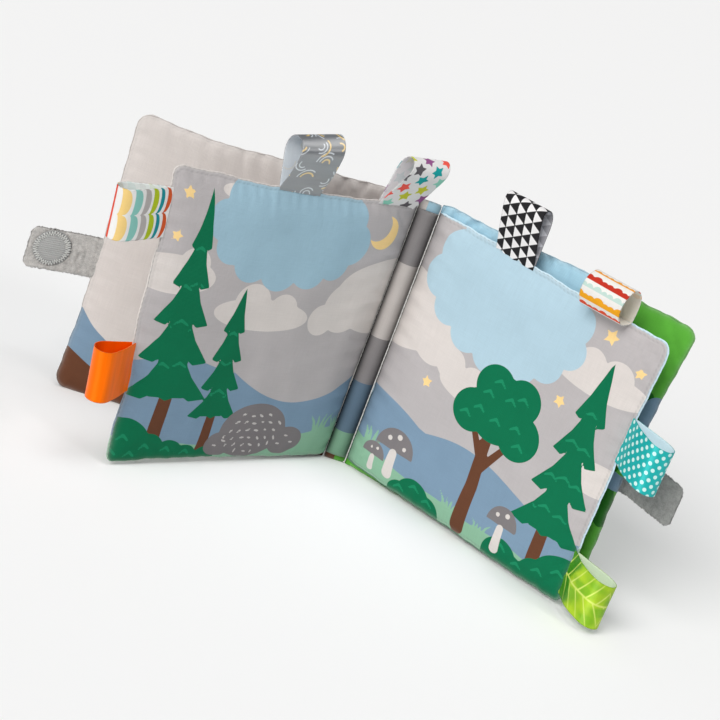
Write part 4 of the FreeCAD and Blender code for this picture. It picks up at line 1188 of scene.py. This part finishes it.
def ribbons():
    # scalloped stripes across the ribbon
    def band(at_front):
        return at_front
    reds = ink(0.72, 0.07, 0.03)
    pos = [2.6, 6.7, 10.9, 15.8, 21.6, 28.2]
    cols = [ink(0.62, 0.09, 0.015), ink(0.0, 0.26, 0.30), ink(0.42, 0.52, 0.01), ink(0.45, 0.42, 0.41), ink(0.25, 0.56, 0.50), ink(0.85, 0.60, 0.22)]
    wid = [1.9, 1.9, 2.7, 3.0, 3.8, 4.1]
    layers = []
    for c, wd in zip(pos, wid):
        def f(x, y, l, c=c, wd=wd):
            both = [wave_band(x, y, c, wd, 12.7), wave_band(l - x, y, c, wd, 12.7)]
            return many(*both)
        layers.append(f)
    layers.append(lambda x, y, l: np.minimum(x - l / 2 + 0.5, l / 2 + 1.9 - x))
    k = [("k%d" % i, c) for i, c in enumerate(cols + [reds])]
    ribbon("waves", layers,
           cloth("ribbon_waves_face", WHITE, k, rough=0.7, sheen=0.0, through=0.2, ribs=0.55, weave_depth=0.16, wear=0, slub=0.03, shine=0.3),
           cloth("ribbon_waves_inside", ink(0.86, 0.90, 0.88), k, rough=0.8, sheen=0.0, through=0.3, ribs=0.55, weave_depth=0.16, wear=0, faded=0.86, slub=0.03, shine=0.2))
    # plain satin
    ribbon("orange", [],
           cloth("ribbon_orange_face", ink(0.92, 0.140, 0.0), rough=0.46, sheen=0.0, weave=0.35, weave_depth=0.01, slub=0.02, wear=0, shine=1.0, mottle=0.06, glow=(1.0, 0.50, 0.06, 1.0), painted_streak=0.24, grain=0.004, satin=0.9),
           cloth("ribbon_orange_inside", ink(0.88, 0.085, 0.0), rough=0.5, sheen=0.0, weave=0.35, weave_depth=0.02, slub=0.02, wear=0, shine=0.2, glow=(1.0, 0.4, 0.04, 1.0), painted_streak=0.10, grain=0.004), ripple=0.34)
    # arcs on dark satin
    rng = np.random.RandomState(8)
    centres = [(i * 9.6 + rng.uniform(-0.9, 0.9), (j + 0.5 * (i % 2)) * 12.4 - 3 + rng.uniform(-0.9, 0.9), rng.uniform(0, 360)) for i in range(9) for j in range(4)]

    def arcs(x, y, which):
        out = np.full(np.shape(x), -3.0)
        for i, (cx, cy, th) in enumerate(centres):
            for j, rr_ in enumerate((2.1, 3.9, 5.7)):
                gold = (i + j) % 3 == 0
                if gold != (which == "gold") or (i + 2 * j) % 9 == 5:
                    continue
                ang = np.degrees(np.arctan2(y - cy, x - cx))
                gap = np.abs((ang - th - j * 17 + 180) % 360 - 180)
                d = (0.46 if gold else 0.34) - np.abs(np.hypot(x - cx, y - cy) - rr_)
                d = np.where(gap < (94, 72, 60)[j], d, -1.0)
                out = np.maximum(out, np.where(np.hypot(x - cx, y - cy) < 6.3, d, -1.0))
        return out
    k = [("k0", ink(0.62, 0.66, 0.70)), ("k1", ink(0.80, 0.56, 0.18))]
    ribbon("swirl", [lambda x, y, l: arcs(x, y, "white"), lambda x, y, l: arcs(x, y, "gold")],
           cloth("ribbon_swirl_face", ink(0.155, 0.165, 0.18), k, rough=0.42, sheen=0.0, weave=0.35, weave_depth=0.01, slub=0.03, wear=0, shine=1.0, mottle=0.2, painted_streak=0.34, grain=0.004, satin=0.94, ior=2.1),
           cloth("ribbon_swirl_inside", ink(0.66, 0.70, 0.74), k, rough=0.55, sheen=0.0, through=0.3, weave=0.35, weave_depth=0.03, wear=0, faded=0.86, shine=0.4), ns=181, nw=71, skew=-0.13, belly=1.6)
    # five-point stars in six colours
    cols = [ink(0.0, 0.36, 0.36), ink(0.58, 0.60, 0.03), ink(0.11, 0.10, 0.11), ink(0.88, 0.10, 0.07), ink(0.28, 0.66, 0.52), ink(0.30, 0.09, 0.26)]
    rng = np.random.RandomState(21)
    spots = []
    for i in range(12):
        for j in range(4):
            cx, cy = 2.6 + i * 6.5, 1.5 + (j - 0.5) * 12.7 + (i % 2) * 6.35
            spots.append((cx + rng.uniform(-0.4, 0.4), cy + rng.uniform(-0.4, 0.4), 4.2, rng.uniform(0, 72), (i * 5 + j * 2 + i // 2) % 6))

    def stars(x, y, c):
        out = np.full(np.shape(x), -3.0)
        for cx, cy, rr_, th, k in spots:
            if k == c:
                near = np.hypot(x - cx, y - cy) < 6
                if near.any():
                    v = np.full(np.shape(x), -3.0)
                    v[near] = polygon(x[near], y[near], star_points(cx, cy, rr_, th, 0.52))
                    out = np.maximum(out, v)
        return out
    k = [("k%d" % i, c) for i, c in enumerate(cols)]
    ribbon("stars", [lambda x, y, l, c=c: stars(x, y, c) for c in range(6)],
           cloth("ribbon_stars_face", WHITE, k, rough=0.7, sheen=0.0, through=0.2, ribs=0.55, weave_depth=0.16, wear=0, slub=0.03, shine=0.3),
           cloth("ribbon_stars_inside", ink(0.90, 0.88, 0.90), k, rough=0.8, sheen=0.0, through=0.6, ribs=0.55, weave_depth=0.16, wear=0, faded=0.82, shine=0.2), ns=181, nw=71)

    # rows of triangles
    def tri(x, y):
        side_, deep = 6.2, 5.37
        col = np.floor((y + 1.2) / deep)
        fy = (y + 1.2) / deep - col
        xx = (x + 1.0 - col * side_ / 2) % side_
        return ((1 - fy) * side_ / 2 - np.abs(xx - side_ / 2)) * 0.866 - 0.12
    k = [("k0", ink(0.78, 0.77, 0.77))]
    ribbon("triangles", [lambda x, y, l: tri(x, y)],
           cloth("ribbon_triangles_face", ink(0.009, 0.008, 0.010), k, rough=0.55, sheen=0.0, ribs=0.55, weave_depth=0.12, wear=0, slub=0.03, shine=0.22),
           cloth("ribbon_triangles_inside", ink(0.42, 0.42, 0.45), [("k0", ink(0.72, 0.72, 0.76))], rough=0.8, sheen=0.0, through=0.3, ribs=0.55, weave_depth=0.16, wear=0, shine=0.2), ns=181, nw=71)

    # rows of scallops along the ribbon's width
    def rows(base, big, small, half, phase):
        def f(x, y, l):
            yy = (y + phase) % 12.7
            out = half - np.abs(x - base)
            for at_, rr_ in ((2.6, big), (6.9, small), (10.4, small * 1.1), (15.3, big)):
                out = np.maximum(out, np.minimum(rr_ - np.hypot((yy - at_) * 0.9, x - base), x - base + half))
            return out
        return f
    cols = [ink(0.80, 0.075, 0.02), ink(0.86, 0.37, 0.004), ink(0.50, 0.66, 0.60), ink(0.50, 0.022, 0.006), ink(0.80, 0.33, 0.02), ink(0.80, 0.075, 0.02),
            ink(0.86, 0.37, 0.004)]
    where = [(15.2, 2.4, 1.6, 0.85), (20.4, 3.1, 2.0, 1.1), (26.2, 2.2, 1.6, 0.5), (30.9, 2.5, 1.7, 1.25), (36.6, 1.5, 1.1, 0.6), (41.6, 2.2, 1.5, 0.8), (47.2, 2.4, 1.6, 0.9)]
    layers = [rows(c, bg_, sm, hf, 3.1 * i) for i, (c, bg_, sm, hf) in enumerate(where)]
    k = [("k%d" % i, c) for i, c in enumerate(cols)]
    ribbon("scallops", layers,
           cloth("ribbon_scallops_face", ink(0.80, 0.775, 0.74), k, rough=0.72, sheen=0.0, through=0.2, ribs=0.55, weave_depth=0.16, wear=0, slub=0.03, shine=0.3),
           cloth("ribbon_scallops_inside", ink(0.95, 0.87, 0.77), k, rough=0.8, sheen=0.0, through=0.6, ribs=0.55, weave_depth=0.16, wear=0, faded=0.80, shine=0.2))

    # offset dots
    def dots(x, y):
        px, py = 5.4, 2.7
        a = np.hypot((x % px) - px / 2, (y % (2 * py)) - py)
        b = np.hypot(((x + px / 2) % px) - px / 2, ((y + py) % (2 * py)) - py)
        return 1.06 - np.minimum(a, b)
    ribbon("dots", [lambda x, y, l: dots(x, y)],
           cloth("ribbon_dots_face", ink(0.0, 0.36, 0.35), [("k0", ink(0.66, 0.84, 0.80))], rough=0.40, sheen=0.0, weave=0.35, weave_depth=0.01, slub=0.03, wear=0, shine=1.0, glow=(0.20, 1.0, 1.0, 1.0), painted_streak=0.10, grain=0.004, satin=0.95, ior=1.85),
           cloth("ribbon_dots_inside", ink(0.66, 0.82, 0.88), rough=0.6, sheen=0.0, weave=0.35, weave_depth=0.03, wear=0, shine=0.3), ns=161, nw=63, belly=1.8)

    # a leaf's veins
    def vein(x, y, l):
        q = np.where(x < l / 2, x, l - x)
        mid_y = 12.2 + 0.04 * q
        off = np.abs(y - mid_y)
        rib = 0.50 - off
        side_ = []
        for i in range(-2, 6):
            o = 1.2 + i * 6.6
            up_ = q - (o + 1.9 * (y > mid_y) + 0.72 * off - 0.010 * off ** 2)
            side_.append(0.40 - 0.016 * off - np.abs(up_) * 0.82)
        return many(rib, *side_)

    glade = field(33, 11.0, 6)

    def shade(x, y, l):
        q = np.where(x < l / 2, x, l - x)
        return 0.16 * (9.5 - q + 3.0 * np.sin(y / 3.0))
    ribbon("leaf", [lambda x, y, l: 0.26 * glade(x, y * 1.4) - 0.05, shade, vein],
           cloth("ribbon_leaf_face", ink(0.175, 0.41, 0.004), [("k0", ink(0.37, 0.56, 0.010)), ("k1", ink(0.040, 0.225, 0.003)), ("k2", ink(0.60, 0.72, 0.14))], rough=0.44, sheen=0.0, weave=0.35, weave_depth=0.01, slub=0.03, wear=0, shine=1.0, soft=0.5, mottle=0.30, glow=(0.86, 1.0, 0.34, 1.0), painted_streak=0.16, grain=0.004, satin=0.92, ior=1.6),
           cloth("ribbon_leaf_inside", ink(0.70, 0.82, 0.62), rough=0.6, sheen=0.0, weave=0.35, weave_depth=0.03, wear=0, shine=0.3), ns=161, nw=63, belly=3.0)


ribbons()

# ------------------------------------------------------------------ felt tabs and their closure patches
FELT_L = cloth("felt_light", ink(0.51, 0.495, 0.475), rough=0.97, sheen=0.6, weave=0.5, weave_depth=0.30, slub=0.02, wear=0, fuzz=1.1, mottle=0.12, shine=0.05)
FELT_R = cloth("felt_dark", ink(0.27, 0.275, 0.265), rough=0.97, sheen=0.6, weave=0.5, weave_depth=0.30, slub=0.02, wear=0, fuzz=1.1, mottle=0.10, shine=0.05)
TAPE = cloth("closure_tape", ink(0.36, 0.365, 0.36), rough=0.75, sheen=0.1, weave=0.7, ribs=1.15, weave_depth=0.25, slub=0.04, wear=0, shine=0.3, grain=0.05)
RING = cloth("ring_thread", ink(0.62, 0.63, 0.61), rough=0.5, sheen=0.2, weave=0.25, weave_depth=0.06, slub=0.10, wear=0, shine=0.5)
# tuck: how far the root runs in past a = 0; lip: where the cover's seam closes on it; swing: the seam's lean across the tab
TABS = {"left": dict(long=35.6, droop=8.2, turn=3.0, rise=76.5, tuck=2.6, lip=-0.6, shift=0.43, swing=0.0),
        "right": dict(long=29.5, droop=8.0, turn=37.0, rise=78.5, tuck=4.6, lip=-2.4, shift=0.28, swing=-0.063)}
TAB_W, TAB_T, TAB_R = 23.0, 1.8, 3.6


def tab_frame(side):
    s = -1 if side == "left" else 1
    T = TABS[side]
    L = LEAVES["cover_" + side]
    g = math.radians(L["turn"])
    e = np.array([s * math.cos(g), -math.sin(g), 0])
    n = np.array([-s * math.sin(g), -math.cos(g), 0])
    root = np.array([s * AX, AY, 0]) + e * (W_COVER + 0.35) + n * -1.25 + np.array([0, 0, T["rise"]])
    t = math.radians(T["turn"])
    te = np.array([s * math.cos(t), -math.sin(t), 0])
    tn = np.array([-s * math.sin(t), -math.cos(t), 0])
    return s, T, root, te, tn


def tab_point(side, a, c, off):
    """a along the tab, c across it (up), off towards the reader; all mm."""
    s, T, root, te, tn = tab_frame(side)
    a, c, off = np.broadcast_arrays(*[np.asarray(q, float) for q in (a, c, off)])
    a0 = np.maximum(a, 0)
    drop = np.tan(math.radians(T["droop"])) * a0 ** 1.08 / T["long"] ** 0.08
    ripple = 0.35 * np.sin(a / 7.0 + c / 17.0 + s) * np.clip(a / 8, 0, 1)
    # at its root the felt follows the cover's seam
    near = np.clip(1 - (a - T["lip"]) / 6.0, 0, 1)
    near = near * near * (3 - 2 * near)
    ripple = ripple + near * (T["shift"] + T["swing"] * c)
    p = root + te * a[..., None] + tn * (off + ripple)[..., None]
    p[..., 2] += c - drop
    return p


def felt_tab(side, mat):
    s, T, root, te, tn = tab_frame(side)
    ln = T["long"]
    na, nc = 66, 44
    A0, C0 = np.meshgrid(np.linspace(-T["tuck"], ln, na), np.linspace(0, TAB_W, nc), indexing="ij")
    A, C = corner_map(A0, C0, ln, TAB_W, TAB_R)
    d = np.minimum(np.minimum(ln - A, C), TAB_W - C)
    a_ = np.clip((A - (ln - TAB_R)) / TAB_R, 0, 2)
    d = np.clip(edge_distance(A, C, ln, TAB_W, TAB_R), 0, 20)
    # the seam presses the root thin
    free = np.clip((A - T["lip"]) / 2.4, 0, 1)
    half = 0.28 + (TAB_T / 2 - 0.28) * (1 - np.exp(-d / 0.6)) * (0.25 + 0.75 * free * free * (3 - 2 * free))
    fuzzy = field(51 if s < 0 else 52, 5.0, 11)
    fuzz2 = field(61 if s < 0 else 62, 11.0, 7)
    amp = np.clip(d / 1.5, 0, 1) * free
    front = half + amp * (0.05 * fuzzy(A, C) + 0.10 * fuzz2(A, C))
    rngw = waves(77 + s, [2.1, 3.7, 9.0], [0.10, 0.12, 0.10])
    wob = rngw(A + C * 1.3) * np.clip(1 - d / 1.2, 0, 1)
    # loose fibres make the cut edge a little ragged
    fibre = np.random.default_rng(91 + s)
    wob = wob + 0.16 * fibre.standard_normal(A.shape) * np.clip(1 - d / 0.5, 0, 1)
    # the stitched ring draws the felt down round the patch
    if side == "left":
        rr_ = np.hypot(A - 22.8, C - TAB_W / 2 - 1.2)
        front = front - 0.42 * np.exp(-((rr_ - 8.6) / 1.5) ** 2) + 0.0 * rr_
        mark = 1.1 * np.exp(-((rr_ - 10.3) / 0.7) ** 2)
        pk = np.exp(-((A - 8.5) / 5.0) ** 2) * np.exp(-((C - 9.0) / 6.0) ** 2)
        front = front + pk * 0.38 * np.sin(A * 1.75 + 0.5 * np.sin(C / 2.0)) * np.sin(C / 2.6 + 1)
    else:
        mark = 0 * A
    Cc = C - TAB_W / 2
    f = tab_point(side, A + wob * 0.5, Cc + wob * 0.7, front)
    b = tab_point(side, A + wob * 0.5, Cc + wob * 0.7, -half - amp * 0.08 * fuzz2(A + 40, C))
    n = A.size
    ids = np.arange(n).reshape(A.shape)
    ring = np.concatenate([ids[:-1, 0], ids[-1, :-1], ids[::-1][:-1, -1], ids[0, ::-1][:-1]])
    # one more ring in the middle of the edge, so that it is round
    ai, ci = A.ravel()[ring], Cc.ravel()[ring]
    cx_, cy_ = ln * 0.5, 0.0
    ox = np.where(ai > ln - 0.3, 0.32, 0.0)
    oy = np.where(np.abs(ci) > TAB_W / 2 - 0.3, 0.32 * np.sign(ci), 0.0)
    rag, wr = 1 + 0.5 * fibre.uniform(-1, 1, len(ai)), wob.ravel()[ring]
    m = tab_point(side, ai + ox * rag + wr * 0.5, ci + oy * rag + wr * 0.7, 0.0 * ai)
    k = len(ring)
    mid = 2 * n + np.arange(k)
    nxr, nxm = np.roll(ring, -1), np.roll(mid, -1)
    w1 = np.stack([ring, nxr, nxm, mid], -1)
    w2 = np.stack([mid, nxm, nxr + n, ring + n], -1)
    faces = [quads(ids, flip=s < 0), quads(ids + n, flip=s > 0)] + [q if s > 0 else q[:, ::-1] for q in (w1, w2)]
    V = np.concatenate([f.reshape(-1, 3), b.reshape(-1, 3), m])
    flat = np.concatenate([np.stack([A, C, np.full_like(A, 90.0 + q)], -1).reshape(-1, 3) for q in (0, 8)] + [np.stack([ai, ci + TAB_W / 2, 94 + 0 * ai], -1)])
    hem = np.concatenate([0.35 * mark.ravel(), 0 * A.ravel(), 0 * ai])
    ob = new_object("tab_%s_felt" % side, V, np.concatenate(faces), [mat], None, {"flat": flat, "hem": hem, "rub": 0 * hem})
    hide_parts("tab_" + side)
    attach(ob, side + "_cover")
    return ob


def patch(name, side, along, to_reader, cad, above=0.0):
    """Round closure patch, sewn on with a ring of zigzag stitches."""
    sg = 1 if to_reader else -1
    th = np.linspace(0, 2 * math.pi, 73)[:-1]
    rads = np.array([0.02, 1.5, 3, 4.5, 6, 7.0, 7.7, 8.4, 9.0, 9.6, 9.9])
    top = np.array([0.62, 0.64, 0.62, 0.6, 0.56, 0.46, 0.34, 0.3, 0.32, 0.24, 0.05]) * 0.9
    V, F, flat = [], [], []
    bump = field(71 if to_reader else 72, 6.0)
    dark = []
    for rr_, tt in zip(rads, top):
        dark += [1.0 * math.exp(-((rr_ - 8.7) / 1.4) ** 2)] * len(th)
        for a in th:
            aa, cc = along + rr_ * math.cos(a), above + rr_ * math.sin(a)
            V.append(tab_point(side, aa, cc, sg * (TAB_T / 2 + tt + 0.05 * float(bump(aa, cc)))))
            flat.append((cc, aa, 120))
    n = len(th)
    for i in range(len(rads) - 1):
        for k in range(n):
            k2 = (k + 1) % n
            F.append((i * n + k, (i + 1) * n + k, (i + 1) * n + k2, i * n + k2))
    F.append(tuple(reversed(range(n))))
    low = len(V)
    for a in th:
        V.append(tab_point(side, along + 9.9 * math.cos(a), above + 9.9 * math.sin(a), sg * (TAB_T / 2 - 0.3)))
        flat.append((9.9 * math.sin(a), along, 121))
    last = (len(rads) - 1) * n
    for k in range(n):
        k2 = (k + 1) % n
        F.append((last + k, low + k, low + k2, last + k2))
    F.append(tuple(low + k for k in range(n)))
    s = -1 if side == "left" else 1
    if s * sg < 0:
        F = [tuple(reversed(f)) for f in F]
    V, flat = np.array(V), np.array(flat, float)
    dark += [0.6] * (len(V) - len(dark))
    ob = new_object(name + "_patch", V, F, [TAPE], None, {"flat": flat, "hem": np.array(dark), "rub": np.zeros(len(V))})
    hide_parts(cad)
    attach(ob, side + "_cover")
    segs = []
    m = 40
    rng = np.random.RandomState(5)
    for i in range(m):
        a0 = 2 * math.pi * i / m
        a1 = a0 + math.pi / m * 0.9
        r_in, r_out = 7.1 + rng.uniform(-0.4, 0.4), 9.8 + rng.uniform(-0.4, 0.4)
        p = [tab_point(side, along + q * math.cos(a), above + q * math.sin(a), sg * (TAB_T / 2 + 0.30 + h_)) for q, a, h_ in
             ((r_in, a0, 0.16), (r_out, a1, -0.02))]
        segs.append((p[0], p[1]))
        a2 = 2 * math.pi * (i + 1) / m
        q = tab_point(side, along + r_in * math.cos(a2), above + r_in * math.sin(a2), sg * (TAB_T / 2 + 0.40))
        segs.append((p[1], q))
    rg = stitched(name + "_ring", segs, 0.23, RING, sides=6, rings=2)
    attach(rg, side + "_cover")
    return ob


felt_tab("left", FELT_L)
felt_tab("right", FELT_R)
patch("hook", "left", 22.8, True, "hook_disc", 1.2)
patch("loop", "right", 18.5, False, "loop_disc")

# ------------------------------------------------------------------ floor, light, camera
floor_me = bpy.data.meshes.new("floor")
F = 9.0
floor_me.from_pydata([(-F, -F, 0), (F, -F, 0), (F, F, 0), (-F, F, 0)], [], [(0, 1, 2, 3)])
floor = bpy.data.objects.new("floor", floor_me)
scene.collection.objects.link(floor)
fm = bpy.data.materials.new("floor_paper")
fm.use_nodes = True
fb = fm.node_tree.nodes["Principled BSDF"]
fb.inputs["Base Color"].default_value = (0.93, 0.93, 0.93, 1)
fb.inputs["Roughness"].default_value = 0.9
fb.inputs["Specular IOR Level"].default_value = 0.1
floor_me.materials.append(fm)

world = bpy.data.worlds.new("studio")
scene.world = world
world.use_nodes = True
bg = world.node_tree.nodes["Background"]
bg.inputs[0].default_value = (0.96, 0.98, 1.0, 1)
bg.inputs[1].default_value = 0.15


def lamp(name, az, el, strength, spread, colour=(1, 1, 1)):
    """Broad studio lamp far off: az degrees right of the front, el above the floor."""
    d = bpy.data.lights.new(name, "SUN")
    d.energy = strength
    d.angle = math.radians(spread)
    d.color = colour
    o = bpy.data.objects.new(name, d)
    scene.collection.objects.link(o)
    a, e = math.radians(az), math.radians(el)
    to_lamp = Vector((math.sin(a) * math.cos(e), -math.cos(a) * math.cos(e), math.sin(e)))
    o.location = to_lamp * 3
    o.rotation_mode = "QUATERNION"
    o.rotation_quaternion = (-to_lamp).to_track_quat("-Z", "Y")
    return o


lamp("key", -36, 37, 2.15, 34, (1.0, 0.99, 0.975))
lamp("low_left", -46, 8, 0.42, 10, (1.0, 0.99, 0.975))
lamp("right", 58, 34, 0.34, 12)
lamp("overhead", 10, 84, 1.1, 40)

cam_d = bpy.data.cameras.new("camera")
cam_d.sensor_width = 36.0
cam_d.lens = 93.83
cam_d.clip_start, cam_d.clip_end = 0.05, 60.0
cam = bpy.data.objects.new("camera", cam_d)
scene.collection.objects.link(cam)
cam.matrix_world = Matrix((
    (0.9416679, -0.3228229, -0.0951154, -0.105235),
    (0.0195651, 0.3346587, -0.9421363, -0.985072),
    (0.3359744, 0.8853186, 0.3214534, 0.397200),
    (0, 0, 0, 1)))
scene.camera = cam
scene.view_settings.view_transform = "Standard"
scene.view_settings.look = "None"
